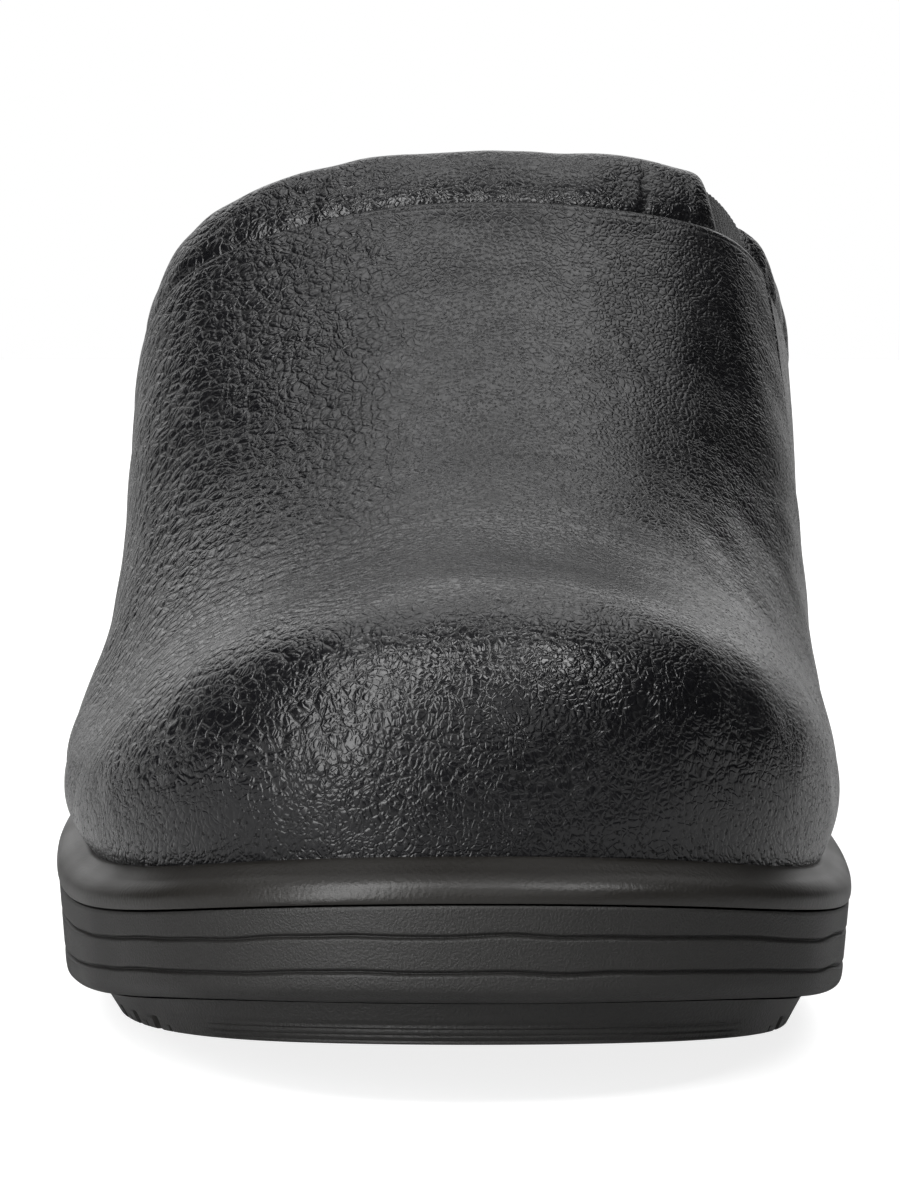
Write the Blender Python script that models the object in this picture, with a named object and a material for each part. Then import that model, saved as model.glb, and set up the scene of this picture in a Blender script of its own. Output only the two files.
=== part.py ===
"""Right-foot slip-on mule, toe towards -Y, standing on the floor at Z = 0.

The sole pieces follow one outline and two height curves. The upper, collar and gore follow
one family of last profiles, each of which climbs from the foot of the upper to the topline.
Tables and sizes are in millimetres, and pieces are placed in metres.
"""

import math
from typing import NamedTuple

import bpy
import numpy as np

MM = 0.001

# Fit of one piece against the next
FIT_GAP = 0.3

# Sole: outline and ground line, measured forward from the back of the heel
SOLE_LENGTH = 264.0
HEEL_TIP_X = 1.5
TOE_TIP_X = 2.5
HEEL_FLAT_START = 14.0
HEEL_FLAT_END = 70.0
BALL_FLAT_START = 118.0
BALL_FLAT_END = 180.0
HEEL_BEVEL = 4.0
ARCH_RISE = 5.5
TOE_SPRING = 8.4
TOE_SPRING_POWER = 1.1

# Welt: the smooth rim that stands round the foot of the upper
WELT_WIDTH = 4.6
WELT_HEIGHT = 5.2

# Outsole: the tread layer, set in from the side wall
TREAD_THICKNESS = 2.9
TOE_TREAD_EXTRA = 2.5
TOE_TREAD_START = 195.0
OUTSOLE_INSET = 6.2
OUTSOLE_DRAFT = 1.8
LUG_PITCH = 9.5
LUG_CHANNEL = 2.6
LUG_DEPTH = 1.8
LUG_WALL_RUN = 0.3
HEEL_LUGS_FROM = 18.0
HEEL_LUGS_TO = 66.0
BALL_LUGS_FROM = 122.0
BALL_LUGS_TO = 238.0

# Insole: the footbed inside the upper and the rim
INSOLE_THICKNESS = 5.0
INSOLE_DISH = 2.0
INSOLE_DISH_RUN = 9.0
INSOLE_EDGE_RUN = 3.0
INSOLE_EDGE_DROP = 0.5
HEEL_SEAT_END = 40.0
UPPER_SEAT_START = 54.0

# Upper: one leather wall from the sole to the collar seam
UPPER_WALL = 2.0
VAMP_OVERLAP = 0.9
VAMP_OVERLAP_RISE = 6.0
VAMP_COLUMNS = 50
REAR_COLUMNS = 11
UPPER_ROWS = 13
ROW_EVENNESS = 0.55

# Collar: the padded roll along the topline
COLLAR_HEIGHT = 11.0
COLLAR_SHARE = 0.6
COLLAR_THICKNESS = 5.6
COLLAR_SINK = 1.7
COLLAR_POWER = 0.8
COLLAR_SIDES = 10

# Gore: the elastic panel on the medial side, seen between the collar ends and through a slit in the wall
GORE_FOOT_FROM_HEEL = 170.0
GORE_WIDTH = 13.0
GORE_THICKNESS = 1.2
GORE_MARGIN = 4.0
GORE_GAP = 0.5
GORE_NECK = 3.5
GORE_TOP_DROP = 1.2
GORE_ROWS = 6
GORE_NECK_ROWS = 3
SLIT_ROWS = 4
SLIT_OFFSET = 4.0
SLIT_TOP_WIDTH = 5.0
SLIT_BOTTOM_WIDTH = 3.0

# Sampling
OUTLINE_SAMPLES = 1600
PLAIN_STATIONS = (0.0, 0.7, 2.4, 5.4, 9.2, 13.4, 70.0, 76.0, 82.0, 88.0, 94.0, 100.0, 106.0, 112.0, 118.0,
                  232.5, 236.0, 239.5, 243.0, 246.5, 250.0, 253.3, 256.2, 258.8, 260.9, 262.5, 263.5,
                  SOLE_LENGTH)
PROFILE_SAMPLES = 61
NORMAL_STEP = 0.002
OUTLINE_STEP = 1e-4
SHARP_ANGLE = 35.0


class SoleStation(NamedTuple):
    """Half-widths of the sole on each side of the centre line."""

    from_heel: float
    lateral: float
    medial: float


SOLE_STATIONS = (
    SoleStation(from_heel=3.0, lateral=12.5, medial=15.5),
    SoleStation(from_heel=12.0, lateral=24.5, medial=27.0),
    SoleStation(from_heel=30.0, lateral=34.0, medial=35.8),
    SoleStation(from_heel=52.0, lateral=38.0, medial=39.2),
    SoleStation(from_heel=82.0, lateral=40.4, medial=40.8),
    SoleStation(from_heel=112.0, lateral=43.0, medial=42.2),
    SoleStation(from_heel=142.0, lateral=47.2, medial=43.6),
    SoleStation(from_heel=168.0, lateral=51.3, medial=45.8),
    SoleStation(from_heel=188.0, lateral=51.9, medial=48.0),
    SoleStation(from_heel=208.0, lateral=50.3, medial=48.4),
    SoleStation(from_heel=227.0, lateral=45.8, medial=46.4),
    SoleStation(from_heel=244.0, lateral=37.6, medial=39.6),
    SoleStation(from_heel=257.0, lateral=24.6, medial=27.0),
)


class RimStation(NamedTuple):
    """Height of the sole's rim above the floor."""

    from_heel: float
    height: float


RIM_STATIONS = (
    RimStation(from_heel=0.0, height=45.0),
    RimStation(from_heel=45.0, height=44.0),
    RimStation(from_heel=80.0, height=40.0),
    RimStation(from_heel=115.0, height=32.6),
    RimStation(from_heel=150.0, height=26.2),
    RimStation(from_heel=185.0, height=23.8),
    RimStation(from_heel=215.0, height=24.2),
    RimStation(from_heel=240.0, height=27.4),
    RimStation(from_heel=264.0, height=32.4),
)


class SideStep(NamedTuple):
    """One corner of the moulded side wall, from its top to its bottom."""

    inset: float
    share_down: float


SIDE_STEPS = (
    SideStep(inset=1.1, share_down=0.0),
    SideStep(inset=0.5, share_down=0.05),
    SideStep(inset=0.7, share_down=0.26),
    SideStep(inset=1.9, share_down=0.30),
    SideStep(inset=0.9, share_down=0.35),
    SideStep(inset=1.1, share_down=0.615),
    SideStep(inset=2.3, share_down=0.655),
    SideStep(inset=1.3, share_down=0.705),
    SideStep(inset=1.7, share_down=0.82),
    SideStep(inset=3.2, share_down=0.93),
    SideStep(inset=6.0, share_down=1.0),
)


class WeltCorner(NamedTuple):
    """One corner of the welt's section."""

    inset: float
    below_rim: float


WELT_CORNERS = (
    WeltCorner(inset=0.6, below_rim=WELT_HEIGHT),
    WeltCorner(inset=0.0, below_rim=4.7),
    WeltCorner(inset=0.1, below_rim=3.9),
    WeltCorner(inset=0.9, below_rim=2.7),
    WeltCorner(inset=1.9, below_rim=1.3),
    WeltCorner(inset=3.0, below_rim=0.4),
    WeltCorner(inset=WELT_WIDTH, below_rim=0.0),
    WeltCorner(inset=WELT_WIDTH, below_rim=WELT_HEIGHT),
)


class ToplinePoint(NamedTuple):
    """Where a last profile starts on the sole and where it ends on the topline."""

    foot_from_heel: float
    top_x: float
    top_from_heel: float
    top_height: float


LATERAL_TOPLINE = (
    ToplinePoint(foot_from_heel=60.0, top_x=-35.0, top_from_heel=58.0, top_height=51.8),
    ToplinePoint(foot_from_heel=104.0, top_x=-41.3, top_from_heel=97.0, top_height=66.5),
    ToplinePoint(foot_from_heel=150.0, top_x=-38.6, top_from_heel=125.0, top_height=88.2),
    ToplinePoint(foot_from_heel=202.0, top_x=-26.7, top_from_heel=139.5, top_height=100.3),
    ToplinePoint(foot_from_heel=243.0, top_x=-12.0, top_from_heel=143.8, top_height=104.8),
)
TOE_TOPLINE = ToplinePoint(foot_from_heel=SOLE_LENGTH, top_x=2.5, top_from_heel=144.6, top_height=105.7)
MEDIAL_TOPLINE = (
    ToplinePoint(foot_from_heel=62.0, top_x=36.0, top_from_heel=60.0, top_height=51.8),
    ToplinePoint(foot_from_heel=106.0, top_x=42.0, top_from_heel=98.0, top_height=74.5),
    ToplinePoint(foot_from_heel=150.0, top_x=37.9, top_from_heel=122.0, top_height=92.3),
    ToplinePoint(foot_from_heel=205.0, top_x=27.5, top_from_heel=138.5, top_height=103.1),
    ToplinePoint(foot_from_heel=243.0, top_x=15.0, top_from_heel=143.8, top_height=105.5),
)


class LastProfile(NamedTuple):
    """Inner control points of one profile.

    reach is the share of the way in towards the topline, rise the share of the way up, and
    swell how far the wall stands out from the foot of the upper.
    """

    reach: tuple
    rise: tuple
    swell: tuple


END_PROFILE = LastProfile((0.10, 0.30, 0.60, 0.85), (0.25, 0.50, 0.72, 0.90), (0.5, 0.5, 0.3, 0.0))
LATERAL_PROFILES = (
    END_PROFILE,
    LastProfile((0.05, 0.20, 0.50, 0.80), (0.18, 0.44, 0.71, 0.90), (1.5, 1.6, 1.4, 0.6)),
    LastProfile((0.00, 0.28, 0.52, 0.80), (0.08, 0.28, 0.64, 0.88), (4.4, 0.3, 0.9, 0.7)),
    LastProfile((0.00, 0.22, 0.46, 0.77), (0.07, 0.20, 0.42, 0.78), (5.4, 0.6, 0.0, 0.0)),
    LastProfile((0.00, 0.02, 0.36, 0.74), (0.10, 0.315, 0.315, 0.65), (3.4, 1.8, 0.0, 0.0)),
)
TOE_PROFILE = LastProfile((0.00, -0.02, 0.34, 0.74), (0.15, 0.48, 0.35, 0.64), (2.6, 1.2, 0.0, 0.0))
MEDIAL_PROFILES = (
    END_PROFILE,
    LastProfile((0.05, 0.20, 0.50, 0.80), (0.18, 0.44, 0.71, 0.90), (3.6, 3.8, 2.6, 0.8)),
    LastProfile((0.02, 0.20, 0.46, 0.76), (0.10, 0.34, 0.67, 0.88), (4.2, 3.8, 3.0, 1.4)),
    LastProfile((0.00, 0.14, 0.45, 0.76), (0.07, 0.20, 0.42, 0.78), (3.8, 1.2, 0.4, 0.2)),
    LastProfile((0.00, 0.02, 0.36, 0.74), (0.11, 0.34, 0.32, 0.66), (3.2, 1.6, 0.0, 0.0)),
)


# Curves

def spline(knots, values):
    """A natural cubic spline through rows of values, as a function of the knot parameter."""
    knots = np.asarray(knots, float)
    values = np.asarray(values, float).reshape(len(knots), -1)
    gaps = np.diff(knots)
    slopes = np.diff(values, axis=0) / gaps[:, None]
    count = len(knots)
    system = np.eye(count)
    right = np.zeros_like(values)
    for i in range(1, count - 1):
        system[i, i - 1:i + 2] = gaps[i - 1], 2.0 * (gaps[i - 1] + gaps[i]), gaps[i]
        right[i] = 6.0 * (slopes[i] - slopes[i - 1])
    bends = np.linalg.solve(system, right)

    def curve(at):
        at = np.asarray(at, float)
        i = np.clip(np.searchsorted(knots, at) - 1, 0, count - 2)
        gap = gaps[i][..., None]
        right_share = ((at - knots[i]) / gaps[i])[..., None]
        left_share = 1.0 - right_share
        bend = (left_share ** 3 - left_share) * bends[i] + (right_share ** 3 - right_share) * bends[i + 1]
        return left_share * values[i] + right_share * values[i + 1] + bend * gap ** 2 / 6.0

    return curve


def smooth_step(share):
    share = np.clip(share, 0.0, 1.0)
    return share * share * (3.0 - 2.0 * share)


def clamped_basis(shares):
    """Weights of the six control points of a clamped cubic B-spline."""
    knots = np.array([0.0, 0.0, 0.0, 0.0, 1.0, 2.0, 3.0, 3.0, 3.0, 3.0]) / 3.0
    at = np.minimum(np.asarray(shares, float), 1.0 - 1e-9)
    weights = [((knots[i] <= at) & (at < knots[i + 1])).astype(float) for i in range(9)]
    for degree in (1, 2, 3):
        raised = []
        for i in range(9 - degree):
            left_run = knots[i + degree] - knots[i]
            right_run = knots[i + degree + 1] - knots[i + 1]
            left = (at - knots[i]) / left_run * weights[i] if left_run else 0.0
            right = (knots[i + degree + 1] - at) / right_run * weights[i + 1] if right_run else 0.0
            raised.append(left + right)
        weights = raised
    return np.stack(weights, axis=-1)


# Sole outline, run from the heel tip up the lateral side, round the toe and back

def outline_points():
    lateral = [(-row.lateral, row.from_heel) for row in SOLE_STATIONS]
    medial = [(row.medial, row.from_heel) for row in reversed(SOLE_STATIONS)]
    return np.array([(HEEL_TIP_X, 0.0), *lateral, (TOE_TIP_X, SOLE_LENGTH), *medial])


def closed_outline():
    """The outline as a function of a share from 0 to 1, and the share at the toe tip."""
    points = outline_points()
    chords = np.linalg.norm(np.diff(np.vstack([points, points[:1]]), axis=0), axis=1)
    length = chords.sum()
    knots = np.concatenate([[0.0], np.cumsum(chords)[:-1]]) / length
    wrapped_knots = np.concatenate([knots - 1.0, knots, knots + 1.0])
    curve = spline(wrapped_knots, np.vstack([points] * 3))
    return curve, knots[len(SOLE_STATIONS) + 1]


OUTLINE, TOE_SHARE = closed_outline()


def outline_out(share):
    """Outward direction of the outline in plan."""
    run = OUTLINE(np.asarray(share) + OUTLINE_STEP) - OUTLINE(np.asarray(share) - OUTLINE_STEP)
    out = np.stack([-run[..., 1], run[..., 0]], axis=-1)
    return out / np.linalg.norm(out, axis=-1, keepdims=True)


def inset_outline(share, inset):
    inset = np.asarray(inset, float)
    return OUTLINE(share) - outline_out(share) * inset[..., None]


RIM = spline([row.from_heel for row in RIM_STATIONS], [row.height for row in RIM_STATIONS])


def rim_top(from_heel):
    return RIM(np.clip(from_heel, 0.0, SOLE_LENGTH))[..., 0]


def ground(from_heel):
    """Height of the tread above the floor: bevelled heel, flat heel seat, arch, flat ball, toe spring."""
    along = np.asarray(from_heel, float)
    back = np.clip(1.0 - along / HEEL_FLAT_START, 0.0, 1.0)
    under = np.clip((along - HEEL_FLAT_END) / (BALL_FLAT_START - HEEL_FLAT_END), 0.0, 1.0)
    front = np.clip((along - BALL_FLAT_END) / (SOLE_LENGTH - BALL_FLAT_END), 0.0, 1.0)
    arch = ARCH_RISE * np.sin(math.pi * under) ** 2
    return HEEL_BEVEL * back ** 2 + arch + TOE_SPRING * front ** TOE_SPRING_POWER


def outsole_top(from_heel):
    """Height of the top of the tread layer, which is thickest at the toe."""
    toe = smooth_step((np.asarray(from_heel, float) - TOE_TREAD_START) / (SOLE_LENGTH - TOE_TREAD_START))
    return ground(from_heel) + TREAD_THICKNESS + TOE_TREAD_EXTRA * toe


SPAN = OUTLINE(np.linspace(0.0, 1.0, OUTLINE_SAMPLES))
CENTRE_X = (SPAN[:, 0].min() + SPAN[:, 0].max()) / 2.0
CENTRE_Y = (SPAN[:, 1].min() + SPAN[:, 1].max()) / 2.0


def placed(x, from_heel, height):
    """Row-frame points in metres, with the toe towards -Y."""
    spots = np.stack(np.broadcast_arrays(x - CENTRE_X, CENTRE_Y - from_heel, height), axis=-1)
    return spots * MM


# Upper surface

def share_on_side(from_heel, medial):
    """Outline share of the point at this distance from the heel, on one side."""
    low, high = (TOE_SHARE, 1.0) if medial else (0.0, TOE_SHARE)
    shares = np.linspace(low, high, OUTLINE_SAMPLES)
    along = OUTLINE(shares)[:, 1]
    order = np.argsort(along)
    return np.interp(from_heel, along[order], shares[order])


FOOT_INSET = WELT_WIDTH + FIT_GAP
FOOT_START = share_on_side(LATERAL_TOPLINE[0].foot_from_heel, medial=False)
FOOT_END = share_on_side(MEDIAL_TOPLINE[0].foot_from_heel, medial=True)
FOOT_SHARES = np.linspace(FOOT_START, FOOT_END, OUTLINE_SAMPLES)
FOOT_STEPS = np.linalg.norm(np.diff(inset_outline(FOOT_SHARES, FOOT_INSET), axis=0), axis=1)
FOOT_RUN = np.concatenate([[0.0], np.cumsum(FOOT_STEPS)])
FOOT_RUN /= FOOT_RUN[-1]


def around_at(from_heel, medial):
    """Share of the way round the upper, from the lateral end to the medial end."""
    return np.interp(share_on_side(from_heel, medial), FOOT_SHARES, FOOT_RUN)


def last_rows():
    """Knots round the upper, with the topline point and the profile at each of them."""
    lateral = [around_at(row.foot_from_heel, False) for row in LATERAL_TOPLINE]
    medial = [around_at(row.foot_from_heel, True) for row in reversed(MEDIAL_TOPLINE)]
    toe = np.interp(TOE_SHARE, FOOT_SHARES, FOOT_RUN)
    tops = [row[1:] for row in (*LATERAL_TOPLINE, TOE_TOPLINE, *reversed(MEDIAL_TOPLINE))]
    profiles = (*LATERAL_PROFILES, TOE_PROFILE, *reversed(MEDIAL_PROFILES))
    shapes = [row.reach + row.rise + row.swell for row in profiles]
    return [*lateral, toe, *medial], tops, shapes


AROUND_KNOTS, TOPS, SHAPES = last_rows()
TOPLINE = spline(AROUND_KNOTS, TOPS)
SHAPE = spline(AROUND_KNOTS, SHAPES)
BASIS = clamped_basis(np.linspace(0.0, 1.0, PROFILE_SAMPLES))


def last_profiles(around):
    """Points of each profile from the rim to the topline, and the length run along it."""
    around = np.clip(np.ravel(around), 0.0, 1.0)
    share = np.interp(around, FOOT_RUN, FOOT_SHARES)
    foot = inset_outline(share, np.full_like(share, FOOT_INSET))
    out = outline_out(share)
    base = rim_top(OUTLINE(share)[:, 1])
    top = TOPLINE(around)
    shape = SHAPE(around)
    nought, one = np.zeros((len(around), 1)), np.ones((len(around), 1))
    reach = np.hstack([nought, shape[:, 0:4], one]) @ BASIS.T
    rise = np.hstack([nought, shape[:, 4:8], one]) @ BASIS.T
    swell = np.hstack([nought, shape[:, 8:12], nought]) @ BASIS.T
    plan = foot[:, None] + (top[:, None, :2] - foot[:, None]) * reach[..., None]
    plan += out[:, None] * swell[..., None]
    height = base[:, None] + (top[:, 2:] - base[:, None]) * rise
    points = np.concatenate([plan, height[..., None]], axis=-1)
    steps = np.linalg.norm(np.diff(points, axis=1), axis=-1)
    return points, np.hstack([nought, np.cumsum(steps, axis=1)])


def profile_length(around):
    return last_profiles(around)[1][:, -1].reshape(np.shape(around))


def on_last(around, up):
    """Points on the last. up is the share of the profile's length, and is below 0 inside the welt."""
    around, up = np.broadcast_arrays(np.asarray(around, float), np.asarray(up, float))
    points, runs = last_profiles(around)
    spots = np.empty((around.size, 3))
    for i, share in enumerate(up.ravel()):
        for axis in range(3):
            spots[i, axis] = np.interp(share * runs[i, -1], runs[i], points[i, :, axis])
    return spots.reshape(*around.shape, 3)


def last_frame(around, up):
    """Points on the last, with the directions up along the profile and out of the wall."""
    around, up = np.broadcast_arrays(np.asarray(around, float), np.asarray(up, float))
    before = np.clip(around - NORMAL_STEP, 0.0, 1.0)
    after = np.clip(around + NORMAL_STEP, 0.0, 1.0)
    low = np.clip(up - NORMAL_STEP, 0.0, 1.0)
    high = np.clip(up + NORMAL_STEP, 0.0, 1.0)
    climb = on_last(around, high) - on_last(around, low)
    run = on_last(after, up) - on_last(before, up)
    out = np.cross(climb, run)
    climb /= np.linalg.norm(climb, axis=-1, keepdims=True)
    out /= np.linalg.norm(out, axis=-1, keepdims=True)
    return on_last(around, up), climb, out


def row_frame(points):
    return placed(points[..., 0], points[..., 1], points[..., 2])


def collar_height(around):
    """Height of the collar roll along the profile, less where the wall runs out."""
    return np.minimum(COLLAR_HEIGHT, COLLAR_SHARE * profile_length(around))


def seam_up(around):
    """Where the upper ends and the collar starts, as a share of the profile."""
    return 1.0 - collar_height(around) / profile_length(around)


GORE_AROUND = around_at(GORE_FOOT_FROM_HEEL, medial=True)


def topline_share(width):
    """How much of the way round the upper this width takes up, on the topline at the gore."""
    run = TOPLINE(GORE_AROUND + NORMAL_STEP) - TOPLINE(GORE_AROUND - NORMAL_STEP)
    return width * 2.0 * NORMAL_STEP / np.linalg.norm(run)


GORE_HALF = topline_share(GORE_WIDTH) / 2.0


def slit_edges(row_share):
    """Front and rear edge of the slit, at a share of the way up it."""
    width = SLIT_BOTTOM_WIDTH + (SLIT_TOP_WIDTH - SLIT_BOTTOM_WIDTH) * row_share
    middle = GORE_AROUND + topline_share(SLIT_OFFSET)
    return middle - topline_share(width) / 2.0, middle + topline_share(width) / 2.0


# Solids

def new_material(name, colour, roughness):
    material = bpy.data.materials.new(name)
    material.use_nodes = True
    shader = material.node_tree.nodes["Principled BSDF"]
    shader.inputs["Base Color"].default_value = (*colour, 1.0)
    shader.inputs["Roughness"].default_value = roughness
    shader.inputs["Metallic"].default_value = 0.0
    return material


def add_solid(name, points, faces, material):
    mesh = bpy.data.meshes.new(name)
    mesh.from_pydata([tuple(point) for point in points], [], faces)
    mesh.validate()
    mesh.shade_smooth()
    mesh.set_sharp_from_angle(angle=math.radians(SHARP_ANGLE))
    mesh.materials.append(material)
    solid = bpy.data.objects.new(name, mesh)
    bpy.context.scene.collection.objects.link(solid)
    return solid


def panel_solid(name, outer, inner, keep, material):
    """A wall between two grids of points, made only of the cells that are kept."""
    rows, columns = outer.shape[:2]
    count = rows * columns
    used = {}
    points = []
    faces = []

    def corner(row, column, side):
        key = row * columns + column + side * count
        if key not in used:
            used[key] = len(points)
            points.append((inner if side else outer)[row, column])
        return used[key]

    def kept(row, column):
        return 0 <= row < rows - 1 and 0 <= column < columns - 1 and keep[row, column]

    for row in range(rows - 1):
        for column in range(columns - 1):
            if not kept(row, column):
                continue
            ring = [(row, column), (row, column + 1), (row + 1, column + 1), (row + 1, column)]
            beyond = [(row - 1, column), (row, column + 1), (row + 1, column), (row, column - 1)]
            faces.append([corner(*spot, 0) for spot in ring])
            faces.append([corner(*spot, 1) for spot in reversed(ring)])
            for start, end, neighbour in zip(ring, ring[1:] + ring[:1], beyond):
                if not kept(*neighbour):
                    faces.append([corner(*end, 0), corner(*start, 0), corner(*start, 1), corner(*end, 1)])
    return add_solid(name, points, faces, material)


def tube_solid(name, rings, material, closed):
    """A solid lofted through rings of points. An open one is capped at both ends."""
    count, sides = rings.shape[:2]
    faces = []
    for i in range(count if closed else count - 1):
        for j in range(sides):
            after, beside = (i + 1) % count, (j + 1) % sides
            faces.append([i * sides + j, i * sides + beside, after * sides + beside, after * sides + j])
    if not closed:
        faces.append(list(reversed(range(sides))))
        faces.append([(count - 1) * sides + j for j in range(sides)])
    return add_solid(name, rings.reshape(-1, 3), faces, material)


def layer_solid(name, rings, material):
    """A sole layer from stacked outlines, top first. Ladders of faces close its top and bottom."""
    layers, count = rings.shape[:2]
    faces = []
    for k in range(layers - 1):
        for j in range(count):
            beside = (j + 1) % count
            low, high = (k + 1) * count, k * count
            faces.append([low + j, low + beside, high + beside, high + j])
    bottom = (layers - 1) * count
    for j in range(count // 2):
        pair = [j, j + 1, (count - j - 1) % count, (count - j) % count]
        rungs = list(dict.fromkeys(pair))
        faces.append(rungs)
        faces.append([bottom + spot for spot in reversed(rungs)])
    return add_solid(name, rings.reshape(-1, 3), faces, material)


# Sole pieces

def channel_starts():
    """Where each channel between two rows of lugs starts, from the heel."""
    heel = np.arange(HEEL_LUGS_FROM, HEEL_LUGS_TO - LUG_CHANNEL, LUG_PITCH)
    ball = np.arange(BALL_LUGS_FROM, BALL_LUGS_TO - LUG_CHANNEL, LUG_PITCH)
    return np.concatenate([heel, ball])


def sole_stations():
    """Distances from the heel that every sole piece is drawn through."""
    starts = channel_starts()
    return np.unique(np.concatenate([PLAIN_STATIONS, starts, starts + LUG_CHANNEL]))


def ring_shares(along):
    """Outline shares at these stations, up the lateral side and back down the medial side."""
    lateral = share_on_side(along, medial=False)
    medial = share_on_side(along, medial=True)
    lateral[[0, -1]] = 0.0, TOE_SHARE
    return np.concatenate([lateral, medial[-2:0:-1]])


def sole_ring(shares, inset, height_of):
    """One outline of a sole layer, set in from the sole's edge, at a height read along its length."""
    plan = inset_outline(shares, np.broadcast_to(inset, shares.shape))
    edge = OUTLINE(shares)[:, 1]
    return placed(plan[:, 0], plan[:, 1], height_of(edge))


def midsole_top(from_heel):
    return rim_top(from_heel) - WELT_HEIGHT - FIT_GAP


def midsole_bottom(from_heel):
    return outsole_top(from_heel) + FIT_GAP


def make_midsole(material):
    shares = ring_shares(sole_stations())
    rings = []
    for step in SIDE_STEPS:
        def height(along, down=step.share_down):
            return midsole_top(along) * (1.0 - down) + midsole_bottom(along) * down
        rings.append(sole_ring(shares, step.inset, height))
    return layer_solid("midsole", np.array(rings), material)


def make_welt(material):
    shares = ring_shares(sole_stations())
    corners = []
    for corner in WELT_CORNERS:
        def height(along, below=corner.below_rim):
            return rim_top(along) - below
        corners.append(sole_ring(shares, corner.inset, height))
    return tube_solid("welt", np.array(corners[::-1]).transpose(1, 0, 2), material, closed=True)


def make_outsole(material):
    starts = channel_starts()
    floors = np.concatenate([starts + LUG_WALL_RUN, starts + LUG_CHANNEL - LUG_WALL_RUN])
    along = np.union1d(sole_stations(), floors)
    cut = np.where(np.isin(along, floors), LUG_DEPTH, 0.0)
    cuts = np.concatenate([cut, cut[-2:0:-1]])
    shares = ring_shares(along)
    rings = [
        sole_ring(shares, OUTSOLE_INSET, outsole_top),
        sole_ring(shares, OUTSOLE_INSET + OUTSOLE_DRAFT, lambda s: ground(s) + cuts),
    ]
    return layer_solid("outsole", np.array(rings), material)


def insole_inset(from_heel):
    """The footbed fills the rim at the open heel and stays inside the upper's wall further forward."""
    at_heel = WELT_WIDTH + FIT_GAP
    in_upper = FOOT_INSET + UPPER_WALL + 2.0 * FIT_GAP
    share = (from_heel - HEEL_SEAT_END) / (UPPER_SEAT_START - HEEL_SEAT_END)
    return at_heel + (in_upper - at_heel) * smooth_step(share)


def make_insole(material):
    shares = ring_shares(sole_stations())
    inset = insole_inset(OUTLINE(shares)[:, 1])
    bottom = -WELT_HEIGHT
    top = bottom + INSOLE_THICKNESS
    rings = [
        sole_ring(shares, inset + INSOLE_DISH_RUN, lambda s: rim_top(s) + top - INSOLE_DISH),
        sole_ring(shares, inset + INSOLE_EDGE_RUN, lambda s: rim_top(s) + top - INSOLE_EDGE_DROP),
        sole_ring(shares, inset, lambda s: rim_top(s) + top - INSOLE_EDGE_DROP),
        sole_ring(shares, inset, lambda s: rim_top(s) + bottom),
    ]
    return layer_solid("insole", np.array(rings), material)


# Upper pieces

def upper_columns():
    """Column shares round the upper in front of the gore and behind it."""
    margin = topline_share(GORE_MARGIN)
    front = np.linspace(0.0, GORE_AROUND - GORE_HALF - margin, VAMP_COLUMNS)
    rear = np.linspace(GORE_AROUND + GORE_HALF + margin, 1.0, REAR_COLUMNS)
    return np.append(front, GORE_AROUND - GORE_HALF - topline_share(FIT_GAP)), rear


def row_shares():
    """Shares of the way up to the seam of each row of the wall, closest at the foot."""
    even = np.linspace(0.0, 1.0, UPPER_ROWS + 1)
    return even * (ROW_EVENNESS + (1.0 - ROW_EVENNESS) * even)


def make_upper(material):
    front, rear = upper_columns()
    shares = row_shares()
    slit_row = UPPER_ROWS - SLIT_ROWS
    slit_front, slit_rear = slit_edges(np.clip((shares - shares[slit_row]) / (1.0 - shares[slit_row]), 0.0, 1.0))
    edges = [slit_front - topline_share(FIT_GAP), slit_front, slit_rear]
    around = np.column_stack([np.tile(front, (len(shares), 1)), *edges, np.tile(rear, (len(shares), 1))])
    top = seam_up(around) - FIT_GAP / 2.0 / profile_length(around)
    up = shares[:, None] * top
    points, _, out = last_frame(around, up)
    vamp = len(front) + 1
    proud = np.zeros(around.shape)
    proud[:, :vamp] = VAMP_OVERLAP * smooth_step(up[:, :vamp] * VAMP_OVERLAP_RISE)
    outer = points + out * proud[..., None]
    inner = points - out * UPPER_WALL
    outer_foot, inner_foot = outer[:1].copy(), inner[:1].copy()
    outer_foot[..., 2] -= WELT_HEIGHT
    inner_foot[..., 2] = outer_foot[..., 2]
    outer = np.concatenate([outer_foot, outer])
    inner = np.concatenate([inner_foot, inner])
    keep = np.ones((outer.shape[0] - 1, outer.shape[1] - 1), bool)
    keep[slit_row + 1:, vamp] = False
    return panel_solid("upper", row_frame(outer), row_frame(inner), keep, material)


def make_collar(name, around, material):
    """A padded roll that stands on the seam and rounds over the topline."""
    turn = -np.linspace(0.0, 2.0 * math.pi, COLLAR_SIDES, endpoint=False)
    across = np.sign(np.cos(turn)) * np.abs(np.cos(turn)) ** COLLAR_POWER * COLLAR_THICKNESS / 2.0
    along = np.sign(np.sin(turn)) * np.abs(np.sin(turn)) ** COLLAR_POWER
    reach = (collar_height(around) - FIT_GAP)[:, None]
    up = 1.0 - reach * (1.0 - along) / 2.0 / profile_length(around)[:, None]
    points, _, out = last_frame(around[:, None], up)
    rings = points + out * (across - COLLAR_SINK)[None, :, None]
    return tube_solid(name, row_frame(rings), material, closed=False)


def make_collars(material):
    front, rear = upper_columns()
    make_collar("collar", front, material)
    make_collar("collar_quarter", np.append(GORE_AROUND + GORE_HALF + topline_share(FIT_GAP), rear), material)


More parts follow.
